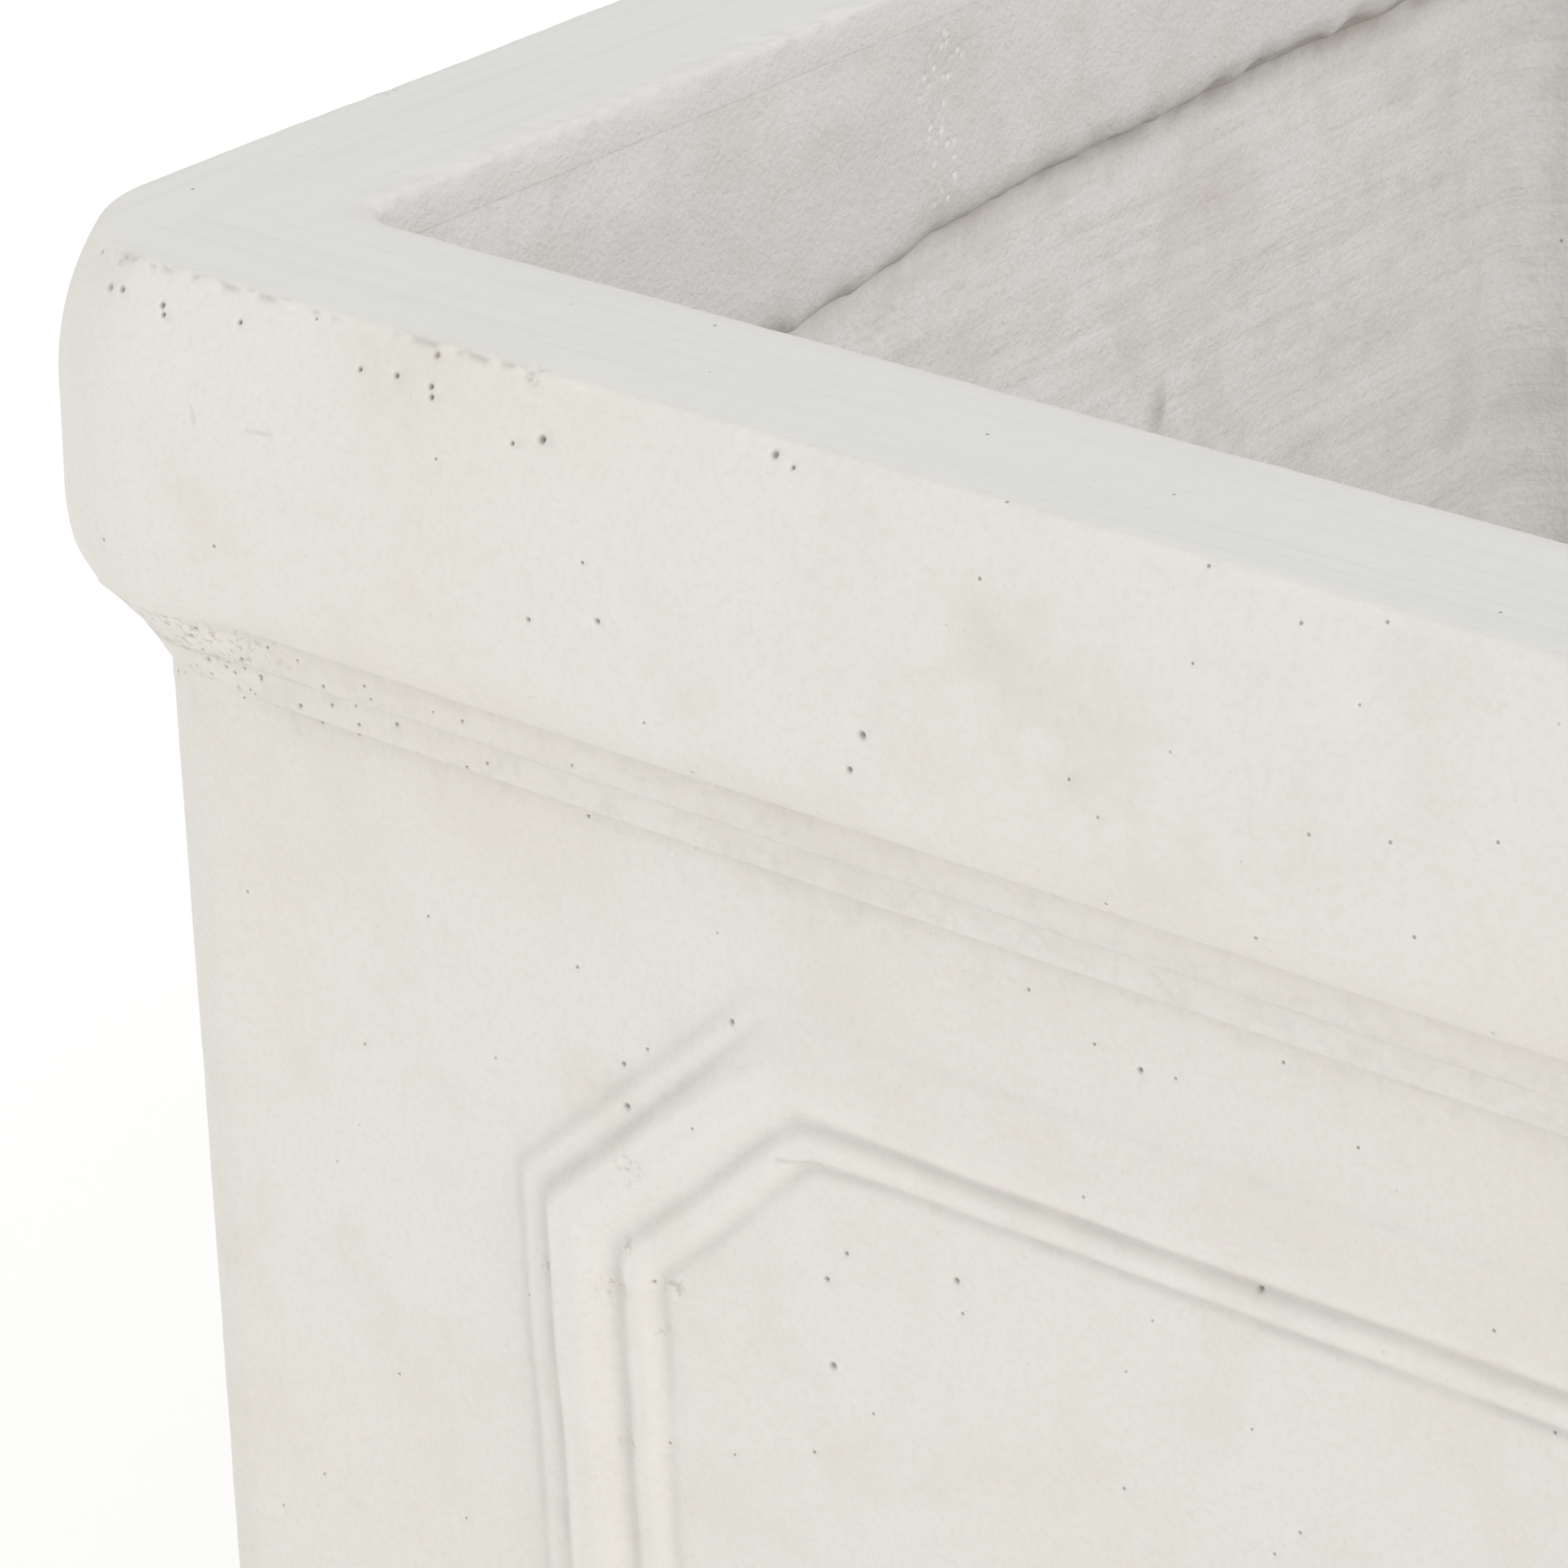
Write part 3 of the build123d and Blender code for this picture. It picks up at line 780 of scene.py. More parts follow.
def mouldingHeight(s, v, points):
    height, paintedShade, wearAndHighlight = np.zeros((3, len(s)))
    for wall in (0, 2, 4, 6):
        on = (s >= stretchStart[wall]) & (s <= stretchStart[wall + 1]) & (v > faceCut["cornice"])
        q = wallPlaces(s[on], v[on], wall)
        level = levelShare(q, wall)
        inset = panelInset(q, wall) + panel["wobble"] * lumps(points[on], 14, 5)
        total = np.zeros(on.sum())
        for step in panel["steps"]:
            at, width, rise = (a + (b - a) * level for a, b in zip(step[:3], step[3:]))
            total += rise * ramp(inset, at, width)
            way = np.sign(rise) * 0.5 * width
            sharp = np.clip(np.abs(rise) / width, 0, 0.7) / 0.7
            # painted shade at the inner foot of each step; the crest of each step is lightened as wear
            paintedShade[on] = np.maximum(paintedShade[on], swell(inset, at - way, 0.9) * sharp)
            wearAndHighlight[on] = np.maximum(wearAndHighlight[on], swell(inset, at + way, 1.2) * sharp)
        height[on] = total * (1 + 0.18 * lumps(points[on], 26, 6))
    return height, paintedShade, wearAndHighlight


def cornerFill(s, v):
    # at the four corners the cornice's steps run together into one rough slope
    index, t, odd, angle = facing(s)
    fromCorner = np.where(odd, 0.0, np.minimum(t, 1 - t) * stretch[index])
    drop = np.interp(v, faceCut["v"], faceCut["drop"])
    out = -np.interp(v, faceCut["v"], faceCut["inset"])
    slope = np.interp(drop, face["cornerDrops"], face["cornerOuts"])
    below = (v > faceCut["arris"]) & (drop < 57) & (drop > 34)
    fill = np.where(slope > out, slope - out, 0.85 * (slope - out))
    return np.where(below, fill, 0) * np.exp(-(fromCorner / face["cornerReach"]) ** 2)


def buildFace():
    holes = allPinholes()
    s, v, faces = triangulate(facePlaces(holes))
    points = surface(faceCut, s, v)
    normal = surfaceNormal(faceCut, s, v)
    shown = ramp(v, faceCut["cap"] + 4, 6) * (1 - ramp(v, faceCut["foot"] - 5, 8))
    height, paintedShade, wearAndHighlight = mouldingHeight(s, v, points)
    fill = cornerFill(s, v) * (1.0 + 0.1 * lumps(points, 3.0, 12))
    outward = facing(s)[3]
    ledges = faceCut["ledges"]
    # painted shade under the cornice's three ledges
    ledgeShading = sum(share * swell(v, mark - 0.4, 0.8) for mark, share in zip(ledges, face["ledgeShade"]))
    paintedShade = np.maximum(paintedShade, ledgeShading)
    # painted highlight along the cornice's first fillet, between the first two ledges
    wearAndHighlight = np.maximum(wearAndHighlight, swell(v, (ledges[0] + ledges[1]) / 2, 2.0))
    wearAndHighlight = np.maximum(wearAndHighlight, swell(v, faceCut["arris"], 1.2))
    dust = ramp(v, faceCut["ovolo"] - 3, 6) * (1 - ramp(v, faceCut["cornice"] + 3, 8))
    wave = 0.6 * lumps(points, 95, 1) + 0.4 * lumps(points, 33, 2) - 0.6
    grain = lumps(points, 7, 3) + lumps(points, 3, 4)
    height += shown * weather["wave"] * wave + shown * weather["skin"] * grain
    rough = np.zeros(len(s))
    for place, drop, reach, depth in spotPlaces(roughSpots):
        along = (s - place) / (0.62 * reach)
        down = (v - drop) / (0.62 * min(reach, weather["roughAcross"]))
        gone = np.exp(-(along ** 2 + down ** 2) ** 1.5)
        bite = 0.55 * lumps(points, 1.5, 21) + 0.45 * lumps(points, 3.4, 22)
        height += depth * gone * (bite - 0.35)
        rough = np.maximum(rough, gone)
    # painted shade in the scratches, the pinholes and the nibbled arris
    pitShade = np.zeros(len(s))
    for startX, startDrop, endX, endDrop, halfWidth, depth in scratches:
        a, b = (np.array(placeOnFace(faceCut, *end)) for end in ((startX, startDrop), (endX, endDrop)))
        q = np.stack((s, v), axis=1) - a
        t = np.clip(q @ (b - a) / ((b - a) @ (b - a)), 0, 1)
        away = np.hypot(*(q - t[:, None] * (b - a)).T) + 0.2 * lumps(points, 2.0, 66)
        line = 1 - ramp(away, halfWidth, halfWidth)
        height -= depth * line
        pitShade = np.maximum(pitShade, 0.25 * line)
    for place, drop, radius, depth in holes:
        near = np.nonzero(np.abs(v - drop) < 2.2 * radius)[0]
        reach = np.hypot(s[near] - place, v[near] - drop) / radius
        hollow = 1 - ramp(reach, 0.85, 0.8)
        height[near] -= depth * hollow
        pitShade[near] = np.maximum(pitShade[near], hollow)
    edge = swell(v, faceCut["mouth"] + 0.5, 2.4) * (v > faceCut["cap"] + 0.5)
    crumb = (0.5 * lumps(points, 4.5, 61) + 0.35 * lumps(points, 2.2, 62)
             + 0.25 * lumps(points, 1.2, 63) - 0.35)
    leftEnd = ramp(s, stretchStart[2] - 4, 8) * (1 - ramp(s, stretchStart[3] + 12, 8))
    height += face["crumble"] * (0.15 + 0.85 * leftEnd) * edge * crumb
    fromCorner = s - stretchStart[4]
    nibble = swell(v, faceCut["arris"] + 0.3, 0.7) * ramp(fromCorner, -6, 4) * (1 - ramp(fromCorner, 58, 6))
    nibble *= ramp(lumps(points, 1.1, 64) + 0.5 * lumps(points, 8, 65), 0.2, 0.4)
    height -= weather["nibble"] * nibble
    points = points + normal * height[:, None]
    points[:, :2] += fill[:, None] * np.stack((np.cos(outward), np.sin(outward)), axis=1)
    pitShade = np.maximum(pitShade, 0.5 * nibble)
    hidden = v[faces].mean(1) < faceCut["cap"]
    count = len(points)
    faces = np.where(hidden[:, None], faces + count, faces)
    low, high = np.array(coatLow) / mm, np.array(coatHigh) / mm
    points = np.clip(np.concatenate((points, points)), low, high)
    throat = 1 - ramp(v, faceCut["mouth"] + 1.5, 7.0)
    # the rim top, which carries painted cooler light and the float streaks along each side
    floatedAndCoolLight = (1 - ramp(v, faceCut["arris"] - 1.0, 2.0)) * (1 - throat)
    turned = ramp(sideOf(points[:count]) % 4 == 2, 0.5, 1.0)
    stain = np.zeros(len(s))
    for place, drop, reach, strength in spotPlaces(stains):
        stain = np.maximum(stain, strength * np.exp(-((s - place) ** 2 + (v - drop) ** 2) / reach ** 2))
    masks = {"pitShade": pitShade, "rough": rough, "paintedShade": paintedShade, "wearAndHighlight": wearAndHighlight, "dust": dust, "stain": stain,
             "throat": throat, "floatedAndCoolLight": floatedAndCoolLight, "floatedAlongX": floatedAndCoolLight * (1 - turned),
             "floatedAlongY": floatedAndCoolLight * turned}
    skin = (points, faces)
    more = []
    columns = columnsAround(face["coarse"], face["cornerColumns"][0])[:-1]
    drains = [(x, 0, casting["drainRadius"]) for x in (-casting["drainSpacing"], 0, casting["drainSpacing"])]
    for v0, height0, up in ((faceCut["v"][-1], rimTop - baseDrop, False), (0.0, rimTop - coatDrop, True)):
        outline = surface(faceCut, columns, np.full(len(columns), v0))[:, :2]
        more.append(disc(outline, drains, 18.0, height0, up))
    for x, y, radius in drains:
        more.append(tube(x, y, radius, rimTop - baseDrop, rimTop - coatDrop))
    extra = sum(len(p) for p, _ in more)
    points, faces = joined([skin] + more)
    masks = {key: np.concatenate((values, values, np.zeros(extra))) for key, values in masks.items()}
    print("face coat:", len(faces), "faces")
    return makePiece("faceCoat", points, faces, faceMix, masks)


faceCoat = buildFace()
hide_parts("face_coat")
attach(faceCoat, "planter")

# Inner band and backing, both packed in by hand
band = {
    "undercut": (2.4, 4.5),  # mm, how far the lower edge turns under, across and up
    "lipSoft": 1.2,  # mm, rounding of the lower edge
    "fine": 1.2,  # mm, mesh of the left end's inside
    "coarse": 7.0,
    # how much lower the lower edge hangs along the left end: (mm from the front, mm)
    "lipTrend": [(28, 3.5), (112, 4.0), (140, 0.5), (200, -1.0), (265, -2.5)],
    "lump": 0.5,  # mm, its unevenness
    "trail": 139.5,  # mm from the front, a trail of light grains down the left end
    "grains": 38,
    "scrapes": (36.0, 39.5, 44.5, 47.0, 53.0, 61.0),  # mm from the front, marks of the scraper
    "seed": 3,
}
backing = {
    "cove": 6.0,  # mm, radius between the walls and the floor
    "fine": 1.8,
    "coarse": 7.0,
    "trowel": 0.3,  # mm, height of the trowel drags
    "nick": (200.0, 79.0),  # mm from the front and down, a knock in the left end
}
sideNames = {0: "back", 2: "left", 4: "front", 6: "right"}


def innerPlaces(cut, low, high, spec):
    marks = cut["marks"]
    rows = np.concatenate((marks[marks < low - 0.5], rowsAlong(cut, low, high, spec["coarse"] * 0.7, 20),
                           marks[marks > high + 0.5]))
    mitres = stretchStart[:8:2][1:] - stretch[1] / 2
    points = grid(rows, np.unique(np.concatenate((columnsAround(spec["coarse"], 8), mitres))))
    window = (mitres[0] - 4, mitres[1] + 4, low, high)
    columns = columnsAround(spec["fine"], 12, window[0], window[1])
    return relay(points, window, rowsAlong(cut, low, high, spec["fine"], 12),
                 np.unique(np.concatenate((columns, mitres[:2]))))


def splitBySide(name, points, faces, shownFaces, material, masks, nodeName):
    # one ring cut at its mitres into four pieces that shade as one
    count = len(points)
    faces = np.where(shownFaces[:, None], faces, faces + count)
    points = np.concatenate((points, points))
    masks = {key: np.concatenate((values, values)) for key, values in masks.items()}
    normals = vertexNormals(points, faces)
    side = sideOf(points[faces].mean(1))
    for k, word in sideNames.items():
        piece = makePiece(name + word.capitalize(), points, faces[side == k], material, masks, normals)
        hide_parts(nodeName(word))
        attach(piece, "planter")


def buildBand():
    c = casting
    innerInset = c["wallInset"] + c["coat"] + c["backing"] + (c["bandDrop"] - wallDrop) * lean
    corners = [(c["bandCover"], arrisRadius - c["bandCover"], c["bandDrop"]),
               (c["bandCover"], arrisRadius - c["bandCover"], c["rimCap"]),
               (c["rimWidth"], c["mouthRadius"], c["rimCap"]),
               (c["rimWidth"], c["mouthRadius"], c["bandDrop"] - band["undercut"][1]),
               (c["rimWidth"] - band["undercut"][0], c["mouthRadius"] + 1, c["bandDrop"]),
               (innerInset, c["hollowRadius"], c["bandDrop"]),
               (c["bandCover"], arrisRadius - c["bandCover"], c["bandDrop"])]
    marks = makeSection(corners, 1)["marks"]
    cut = makeSection(corners, band["lipSoft"], marks[2] + 12)
    rng = np.random.default_rng(band["seed"])
    middle = stretchStart[3] + arrisRadius - band["trail"]  # the left end runs from back to front
    grains = [(middle + rng.normal(0, 2.0), marks[2] + rng.uniform(1.5, 26), rng.uniform(0.25, 0.5))
              for _ in range(band["grains"])]
    places = innerPlaces(cut, marks[2], marks[5], band)
    window = (middle - 5, middle + 5, marks[2] + 0.5, marks[2] + 27.5)
    places = patch(places, window, 0.4, 0.4)
    scrapedAt = stretchStart[3] + arrisRadius - np.array(band["scrapes"])
    window = (scrapedAt.min() - 4, scrapedAt.max() + 2, marks[2] + 0.5, marks[2] + 26)
    places = patch(places, window, 1.0, 0.5)
    s, v, faces = triangulate(places)
    points = surface(cut, s, v)
    normal = surfaceNormal(cut, s, v)
    flat = points * (1, 1, 0)
    fromFront = points[:, 1] + halfY
    trend = np.interp(fromFront, *zip(*band["lipTrend"]))
    trend = np.where(sideOf(points) == 2, trend, 1.5 * lumps(flat, 90, 31))
    ragged = trend + 0.9 * lumps(flat, 17, 32) + 0.8 * lumps(flat, 6, 33) + 0.6 * lumps(flat, 2.6, 34)
    lip, end = marks[4], marks[5]
    weight = np.where(v < lip, swell(v, lip, 8.0), np.clip((end - v) / (end - lip), 0, 1))
    weight *= (v > marks[2]) * (v < end)
    shown = ramp(v, marks[2] + 4, 8) * (v < end)
    uneven = band["lump"] * (lumps(points, 22, 35) + 0.35 * lumps(points, 7, 36)
                             + 0.15 * lumps(points, 3, 37) - 0.1)
    uneven -= 1.6 * swell(fromFront, 122, 26) * swell(v, lip, 4.0) * (sideOf(points) == 2)  # thicker there
    points = points + normal * (shown * uneven)[:, None]
    points[:, 2] -= ragged * weight
    middle = v[faces].mean(1)
    grit = np.zeros(len(s))
    for place, down, radius in grains:
        near = np.nonzero(np.abs(v - down) < radius)[0]
        reach = np.hypot(s[near] - place, v[near] - down) / radius
        grit[near] = np.maximum(grit[near], np.sqrt(np.clip(1 - reach ** 2, 0, 1)) * radius)
    scraped = sum(swell(fromFront + 0.12 * (v - marks[2]), y, 0.9) for y in band["scrapes"])
    scraped *= (sideOf(points) == 2) * ramp(v, marks[2] + 2, 3) * (1 - ramp(v, marks[2] + 15, 14))
    points = points + normal * (0.8 * grit - 0.35 * scraped)[:, None]
    grit = np.clip(3 * grit, 0, 1)
    # painted shade on the lip's lower edge and underside
    masks = {"paintedShade": ramp(v, lip - 2.0, 2.4), "grit": grit}
    splitBySide("rimBand", points, faces, (middle > marks[2]) & (middle < marks[5]), backingMix, masks,
                lambda word: word + "_rim_band")
    print("rim band:", len(faces), "faces")


def buildBacking():
    c = casting
    hollow = c["wallInset"] + c["coat"]

    def innerInset(drop):
        return hollow + c["backing"] + (drop - wallDrop) * lean

    cove = backing["cove"]
    outer = (hollow + (floorDrop - wallDrop) * lean, 3.0, floorDrop)
    corners = [outer, (hollow + (c["bandDrop"] - wallDrop) * lean, 9.0, c["bandDrop"]),
               (innerInset(c["bandDrop"]), c["hollowRadius"], c["bandDrop"])]
    for a in np.linspace(0, math.pi / 2, 7):
        drop = floorDrop - cove + cove * math.sin(a)
        corners.append((innerInset(drop) + cove * (1 - math.cos(a)), c["hollowRadius"], drop))
    corners.append(outer)
    marks = makeSection(corners, 1)["marks"]
    cut = makeSection(corners, 0.5, marks[2])
    s, v, faces = triangulate(innerPlaces(cut, marks[2], marks[-2], backing))
    points = surface(cut, s, v)
    normal = surfaceNormal(cut, s, v)
    shown = ramp(v, marks[2] + 1, 2) * (1 - ramp(v, marks[-2] - 2, 4))
    along = points * (1 / 16, 1 / 16, 1.0)
    streak = lumps(along, 5.5, 41) + 0.6 * lumps(along + points * 0.02, 2.6, 42)
    uneven = 0.55 * lumps(points, 60, 43) + 0.35 * lumps(points, 18, 44) + backing["trowel"] * streak - 0.4
    points = points + normal * (shown * uneven)[:, None]
    middle = v[faces].mean(1)
    fromFront, drop = points[:, 1] + halfY, rimTop - points[:, 2]
    nickY, nickDrop = backing["nick"]
    nick = np.exp(-((fromFront - nickY) / 1.6) ** 2 - ((drop - nickDrop) / 3.2) ** 2) * (sideOf(points) == 2)
    points = points - normal * (1.2 * nick)[:, None]
    # painted shade where the backing meets the band above it and in the knock
    masks = {"trowelled": shown, "paintedShade": np.maximum(swell(v, marks[2], 3.0), nick)}
    splitBySide("backing", points, faces, (middle > marks[2]) & (middle < marks[-2]), backingMix, masks,
                lambda word: word + ("_end" if word in ("left", "right") else "") + "_backing")
    print("backing:", len(faces), "faces")


def buildSlab():
    c = casting
    columns = columnsAround(30, 5)[:-1]
    inset = c["wallInset"] + c["coat"] + (floorDrop - wallDrop) * lean
    outline = np.stack(planPoint(columns, inset, 3.0), axis=1)
    drains = [(x, 0, c["drainRadius"]) for x in (-c["drainSpacing"], 0, c["drainSpacing"])]
    low, high = rimTop - coatDrop, rimTop - floorDrop
    top, topFaces = disc(outline, drains, 5.0, high, True)
    fromDrain = np.min([np.hypot(top[:, 0] - x, top[:, 1] - y) - r for x, y, r in drains], axis=0)
    inner = ramp(insideBy(top[:, :2], outline), 8, 10) * ramp(fromDrain, 10, 6)
    uneven = 0.8 * lumps(top, 70, 51) + 0.4 * lumps(top, 15, 52) + 0.2 * lumps(top, 6, 53) - 1.2
    top[:, 2] += inner * uneven
    n = len(outline)
    side = [np.column_stack((outline, np.full(n, z))) for z in (low, high)]
    i = np.arange(n)
    j = (i + 1) % n
    rim = np.concatenate((np.stack((i, j, i + n), 1), np.stack((j, j + n, i + n), 1)))
    parts = [(top, topFaces), (np.concatenate(side), rim), disc(outline, drains, 30.0, low, False)]
    parts += [tube(x, y, r, low, high) for x, y, r in drains]
    points, faces = joined(parts)
    slab = makePiece("baseSlab", points, faces, backingMix)
    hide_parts("base_slab")
    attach(slab, "planter")
    print("floor slab:", len(faces), "faces")


buildBand()
buildBacking()
buildSlab()

# Drain plugs, and the rod, scrims and pads that come from the CAD as they are
plug = {
    "turns": 72,
    "edge": 0.8,  # mm, rounding of the moulded edges
    "easing": (0.0, 0.35, 0.65, 1.0),  # where the rounding of an edge has its rings
    # (radius, height above the base's underside) from the shank's foot to the top of the knob
    "profile": [(0, 5.2), (7.5, 4.6), (10.9, 4.0), (12.2, 5.6), (12.4, 8.6), (11.7, 9.2), (11.7, 11.0),
                (12.4, 11.6), (12.4, 14.6), (11.7, 15.2), (11.7, 16.6), (12.2, 18.0), (19.2, 18.0),
                (20.0, 18.8), (20.0, 21.4), (18.6, 22.9), (14.6, 22.9), (14.0, 22.3), (8.2, 22.3),
                (5.0, 22.9), (4.1, 24.2), (4.0, 27.0), (5.9, 28.4), (6.0, 31.0), (5.0, 32.0), (2.0, 31.8),
                (0, 31.6)],
}


def mouldedRubber(name, base, dusty):
    # Vulcanised rubber out of a steel mould: dull and even with a faint satin, a fine stipple from the
    # mould, and pale stone dust rubbed into it.
    m = newMaterial(name)
    place = addNode(m, "ShaderNodeTexCoord").outputs["Object"]
    cloud = addNode(m, "ShaderNodeTexNoise", {"Scale": 1 / (9 * mm), "Detail": 4.0}, {"Vector": place})
    amount = addNode(m, "ShaderNodeMapRange", {"From Min": 0.42, "From Max": 0.75, "To Max": 0.45},
                     {"Value": cloud.outputs[0]})
    tint = addNode(m, "ShaderNodeMix", {"data_type": "RGBA", 6: colour(base), 7: colour(dusty)},
                   {0: amount.outputs[0]})
    dull = addNode(m, "ShaderNodeMapRange", {"To Min": 0.5, "To Max": 0.75}, {"Value": cloud.outputs[0]})
    stipple = addNode(m, "ShaderNodeTexNoise", {"Scale": 1 / (0.5 * mm), "Detail": 2.0}, {"Vector": place})
    bump = addNode(m, "ShaderNodeBump", {"Distance": 0.05 * mm}, {"Height": stipple.outputs[0]})
    shader = addNode(m, "ShaderNodeBsdfPrincipled", {"IOR": 1.52},
                     {"Base Color": tint.outputs[2], "Roughness": dull.outputs[0],
                      "Normal": bump.outputs[0]})
    addNode(m, "ShaderNodeOutputMaterial", links={"Surface": shader.outputs[0]})
    return m


def galvanisedSteel():
    # Hot-dipped zinc on steel rod: a grey metal with spangles about 6 mm across, each with its own dullness.
    m = newMaterial("galvanisedSteel")
    place = addNode(m, "ShaderNodeTexCoord").outputs["Object"]
    spangle = addNode(m, "ShaderNodeTexVoronoi", {"Scale": 1 / (6 * mm)}, {"Vector": place})
    draw = addNode(m, "ShaderNodeSeparateColor", links={"Color": spangle.outputs["Color"]})
    tint = addNode(m, "ShaderNodeMix", {"data_type": "RGBA", 6: colour("#A9ADB0"), 7: colour("#C3C6C8")},
                   {0: draw.outputs[0]})
    dull = addNode(m, "ShaderNodeMapRange", {"To Min": 0.38, "To Max": 0.6}, {"Value": draw.outputs[1]})
    grain = addNode(m, "ShaderNodeTexNoise", {"Scale": 1 / (1.5 * mm), "Detail": 2.0}, {"Vector": place})
    bump = addNode(m, "ShaderNodeBump", {"Distance": 0.03 * mm}, {"Height": grain.outputs[0]})
    shader = addNode(m, "ShaderNodeBsdfPrincipled", {"Metallic": 1.0},
                     {"Base Color": tint.outputs[2], "Roughness": dull.outputs[0],
                      "Normal": bump.outputs[0]})
    addNode(m, "ShaderNodeOutputMaterial", links={"Surface": shader.outputs[0]})
    return m


def glassScrim():
    # Alkali-resistant glass-fibre scrim: white rovings woven 5 mm apart, seen as a grid of pale threads with
    # darker gaps that the stone mix fills.
    m = newMaterial("glassScrim")
    place = addNode(m, "ShaderNodeTexCoord").outputs["Object"]
    threads = []
    for way in ("X", "Y", "Z"):
        wave = addNode(m, "ShaderNodeTexWave",
                       {"bands_direction": way, "Scale": math.pi / (10 * 5 * mm), "Distortion": 0.4},
                       {"Vector": place})
        threads.append(wave.outputs["Fac"])
    both = addNode(m, "ShaderNodeMath", {"operation": "MAXIMUM"}, {0: threads[0], 1: threads[1]})
    every = addNode(m, "ShaderNodeMath", {"operation": "MAXIMUM"}, {0: both.outputs[0], 1: threads[2]})
    tint = addNode(m, "ShaderNodeMix", {"data_type": "RGBA", 6: colour("#BDB9AE"), 7: colour("#ECEBE3")},
                   {0: every.outputs[0]})
    dull = addNode(m, "ShaderNodeMapRange", {"To Min": 0.85, "To Max": 0.45}, {"Value": every.outputs[0]})
    bump = addNode(m, "ShaderNodeBump", {"Distance": 0.3 * mm}, {"Height": every.outputs[0]})
    shader = addNode(m, "ShaderNodeBsdfPrincipled", {"IOR": 1.52},
                     {"Base Color": tint.outputs[2], "Roughness": dull.outputs[0],
                      "Normal": bump.outputs[0]})
    addNode(m, "ShaderNodeOutputMaterial", links={"Surface": shader.outputs[0]})
    return m


def buildPlug(name, node, body, x, material):
    # the profile's corners are eased, then it is turned about the drain's middle
    corners = np.array(plug["profile"], float)
    line = [corners[0]]
    for before, here, after in zip(corners, corners[1:], corners[2:]):
        eased = []
        for other in (before, after):
            distance = np.linalg.norm(other - here)
            eased.append(here + (other - here) / distance * min(plug["edge"], 0.4 * distance))
        first, last = eased
        line += [(1 - t) ** 2 * first + 2 * t * (1 - t) * here + t ** 2 * last for t in plug["easing"]]
    line = np.array(line + [corners[-1]])
    turns = plug["turns"]
    angle = np.arange(turns) * 2 * math.pi / turns
    underside = rimTop - baseDrop
    rings = np.array([(x + r * math.cos(a), r * math.sin(a), underside + z)
                      for r, z in line[1:-1] for a in angle])
    ends = np.array([(x, 0, underside + line[0][1]), (x, 0, underside + line[-1][1])])
    i = np.arange(turns)
    j = (i + 1) % turns
    bands = len(line) - 2
    faces = [np.stack((j, i, np.full(turns, bands * turns)), 1)]
    for k in range(bands - 1):
        a, b = k * turns, (k + 1) * turns
        faces += [np.stack((i + a, j + a, j + b), 1), np.stack((i + a, j + b, i + b), 1)]
    top = (bands - 1) * turns
    faces.append(np.stack((i + top, j + top, np.full(turns, bands * turns + 1)), 1))
    piece = makePiece(name, np.concatenate((rings, ends)), np.concatenate(faces), material)
    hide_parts(node)
    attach(piece, body)


plugRubber = mouldedRubber("mouldedPlugRubber", "#262625", "#6F6C66")
for word, place in (("left", -1), ("centre", 0), ("right", 1)):
    buildPlug("drainPlug" + word.capitalize(), "drain_plug_" + word, "plug_" + word,
              place * casting["drainSpacing"], plugRubber)
print("drain plugs: turned")

print("rod, scrims and pads: finishes")
kept = {
    "rim_rod": galvanisedSteel(),
    "foot_pads": mouldedRubber("mouldedPadRubber", "#3A3A39", "#77746E"),
}
scrimFinish = glassScrim()
for word in ("front", "back", "left_end", "right_end", "base"):
    kept[word + "_scrim"] = scrimFinish
for node, material in kept.items():
    piece = bpy.data.objects[node]
    for cadSlot in piece.material_slots:
        cadSlot.material = material
bevel = bpy.data.objects["foot_pads"].modifiers.new("edge", "BEVEL")
bevel.width = 1.2 * mm
bevel.segments = 3
bevel.limit_method = "ANGLE"

# Floor, light and camera
studio = {
    "floorSize": 24.0,  # metres
    "skyStrength": 0.78,
    # soft discs: (name, azimuth, elevation, metres away, metres across, watts)
    "lights": [("leftLight", -40, 30, 1.4, 0.9, 2.4), ("sideLight", 75, 38, 5.0, 3.0, 38.5),
               ("lowLight", 80, 12, 5.0, 3.0, 64), ("topLight", 60, 65, 5.0, 3.0, 8)],
    "lightTarget": (-0.3, 0, 0.2),
    "cameraPlace": (2.7, -625.3, 531.35),  # millimetres
    "azimuth": 37.35,
    "elevation": 24.96,
    "lens": 137.9,  # millimetres, on a sensor of this width
    "sensor": 36,
    "clip": (0.01, 100),  # metres
}


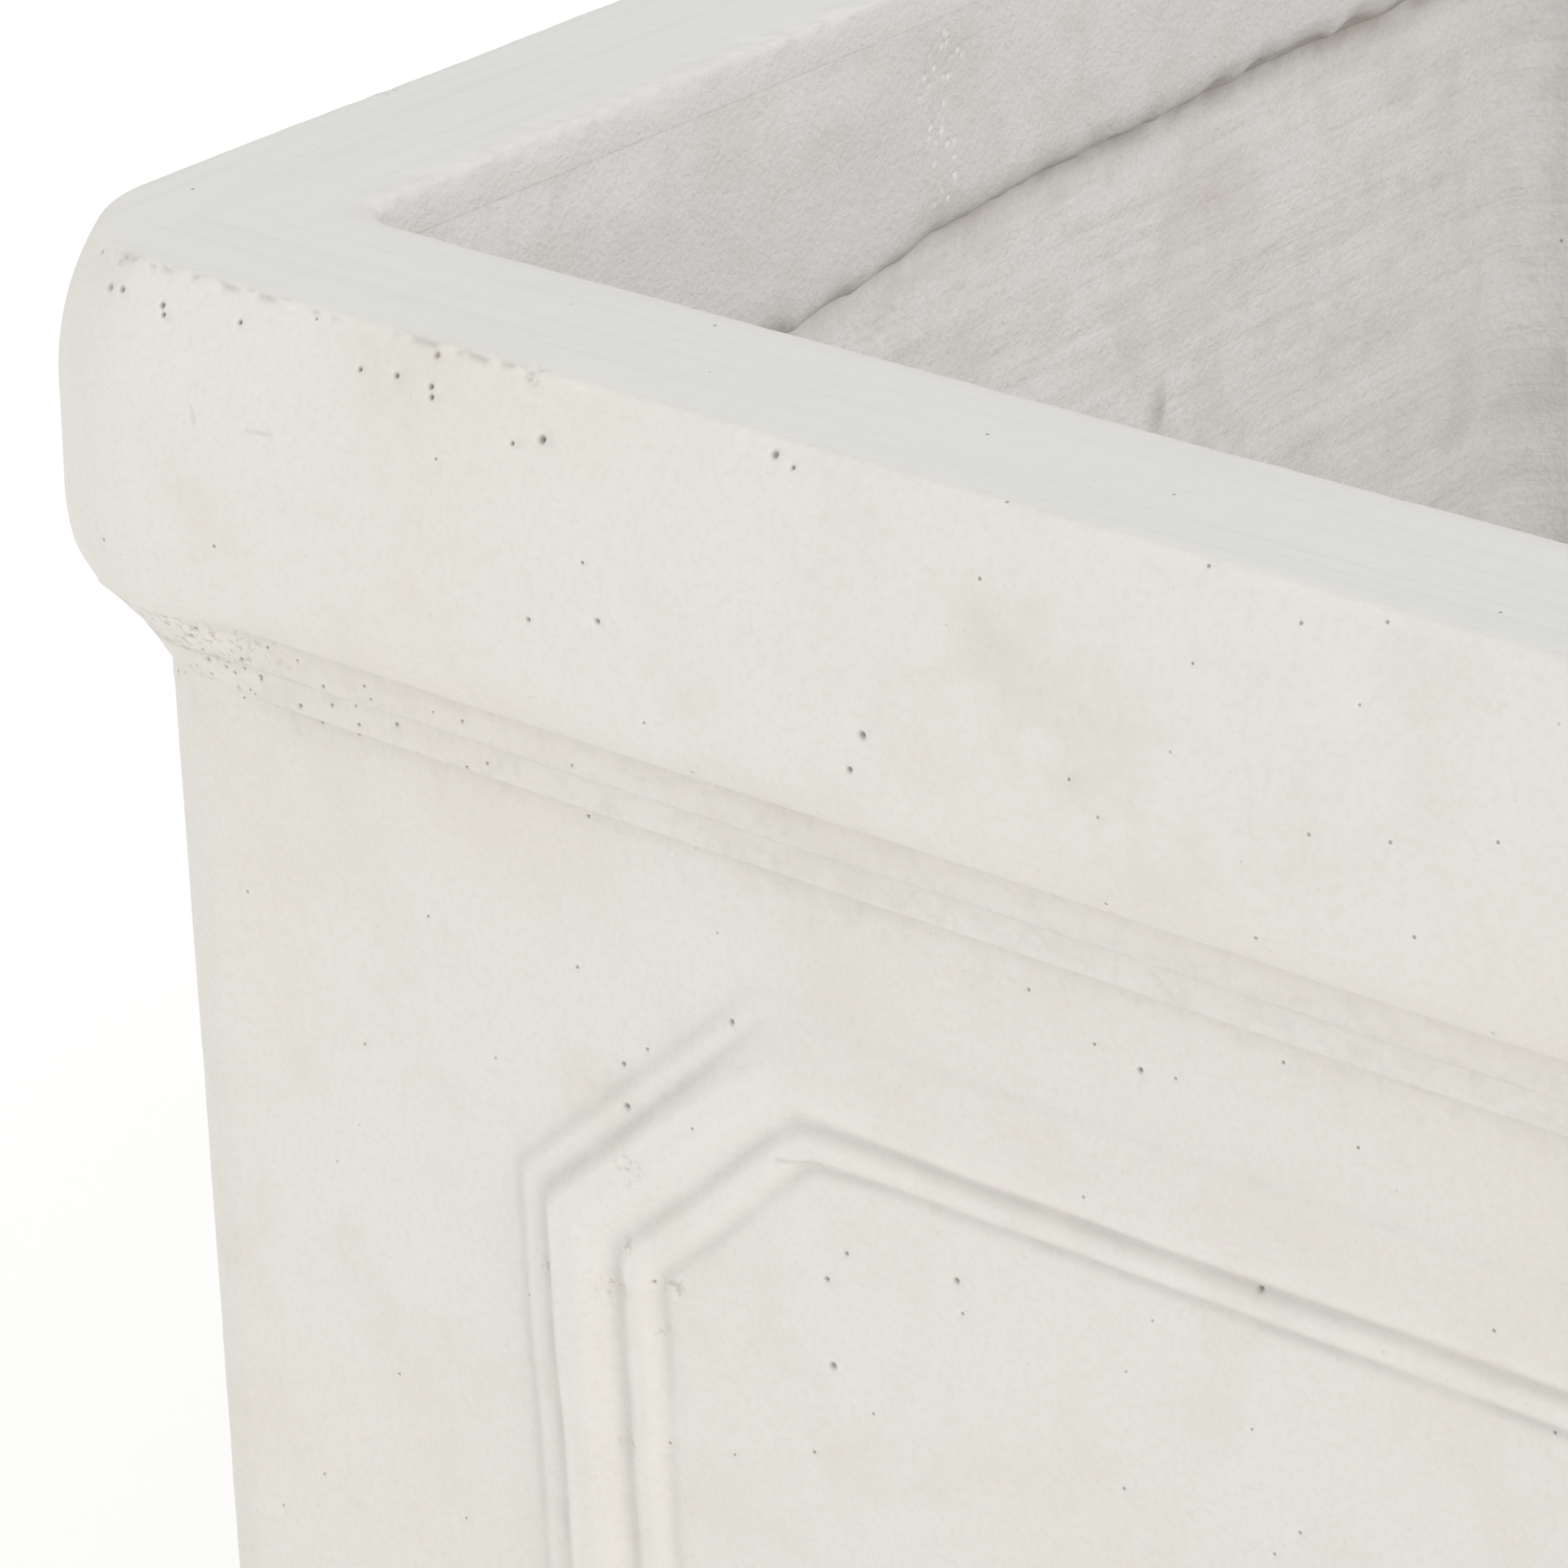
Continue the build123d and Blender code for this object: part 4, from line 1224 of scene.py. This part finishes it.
def paintedFloor():
    # White emulsion rolled on board: flat white with a soft wide unevenness and a faint roller stipple.
    m = newMaterial("paintedFloor")
    place = addNode(m, "ShaderNodeTexCoord").outputs["Object"]
    soft = addNode(m, "ShaderNodeTexNoise", {"Scale": 0.7, "Detail": 1.0}, {"Vector": place})
    tint = addNode(m, "ShaderNodeMix", {"data_type": "RGBA", 6: colour("#FDFDFC"), 7: colour("#FAFAFA")},
                   {0: soft.outputs[0]})
    stipple = addNode(m, "ShaderNodeTexNoise", {"Scale": 1 / (3 * mm), "Detail": 1.0}, {"Vector": place})
    bump = addNode(m, "ShaderNodeBump", {"Distance": 0.02 * mm}, {"Height": stipple.outputs[0]})
    shader = addNode(m, "ShaderNodeBsdfPrincipled", {"Roughness": 0.8, "Emission Color": (1, 1, 1, 1),
                                                     "Emission Strength": 0.16},
                     {"Base Color": tint.outputs[2], "Normal": bump.outputs[0]})
    addNode(m, "ShaderNodeOutputMaterial", links={"Surface": shader.outputs[0]})
    return m


floorMesh = bpy.data.meshes.new("studioFloor")
half = studio["floorSize"] / 2
floorCorners = [(-half, -half, 0), (half, -half, 0), (half, half, 0), (-half, half, 0)]
floorMesh.from_pydata(floorCorners, [], [(0, 1, 2, 3)])
floorMesh.materials.append(paintedFloor())
floorPiece = bpy.data.objects.new("studioFloor", floorMesh)
bpy.context.scene.collection.objects.link(floorPiece)

world = bpy.data.worlds.new("studioWorld")
world.use_nodes = True
world.node_tree.nodes["Background"].inputs["Color"].default_value = (1, 1, 1, 1)
world.node_tree.nodes["Background"].inputs["Strength"].default_value = studio["skyStrength"]
bpy.context.scene.world = world
bpy.context.scene.view_settings.view_transform = "Standard"


def towards(azimuth, elevation):
    # the way from the object to something seen at these angles in degrees
    a, e = math.radians(azimuth), math.radians(elevation)
    return Vector((math.sin(a) * math.cos(e), -math.cos(a) * math.cos(e), math.sin(e)))


for name, azimuth, elevation, distance, across, power in studio["lights"]:
    light = bpy.data.lights.new(name, "AREA")
    light.shape = "DISK"
    light.size = across
    light.energy = power
    lamp = bpy.data.objects.new(name, light)
    target = Vector(studio["lightTarget"])
    lamp.location = target + towards(azimuth, elevation) * distance
    lamp.rotation_euler = (target - lamp.location).to_track_quat("-Z", "Y").to_euler()
    bpy.context.scene.collection.objects.link(lamp)

camera = bpy.data.cameras.new("camera")
camera.sensor_width = studio["sensor"]
camera.sensor_fit = "AUTO"
camera.lens = studio["lens"]
camera.clip_start, camera.clip_end = studio["clip"]
cameraObject = bpy.data.objects.new("camera", camera)
back = towards(studio["azimuth"], studio["elevation"])
cameraObject.location = Vector(studio["cameraPlace"]) * mm
cameraObject.rotation_euler = (-back).to_track_quat("-Z", "Y").to_euler()
bpy.context.scene.collection.objects.link(cameraObject)
bpy.context.scene.camera = cameraObject
print("floor, light and camera: set")
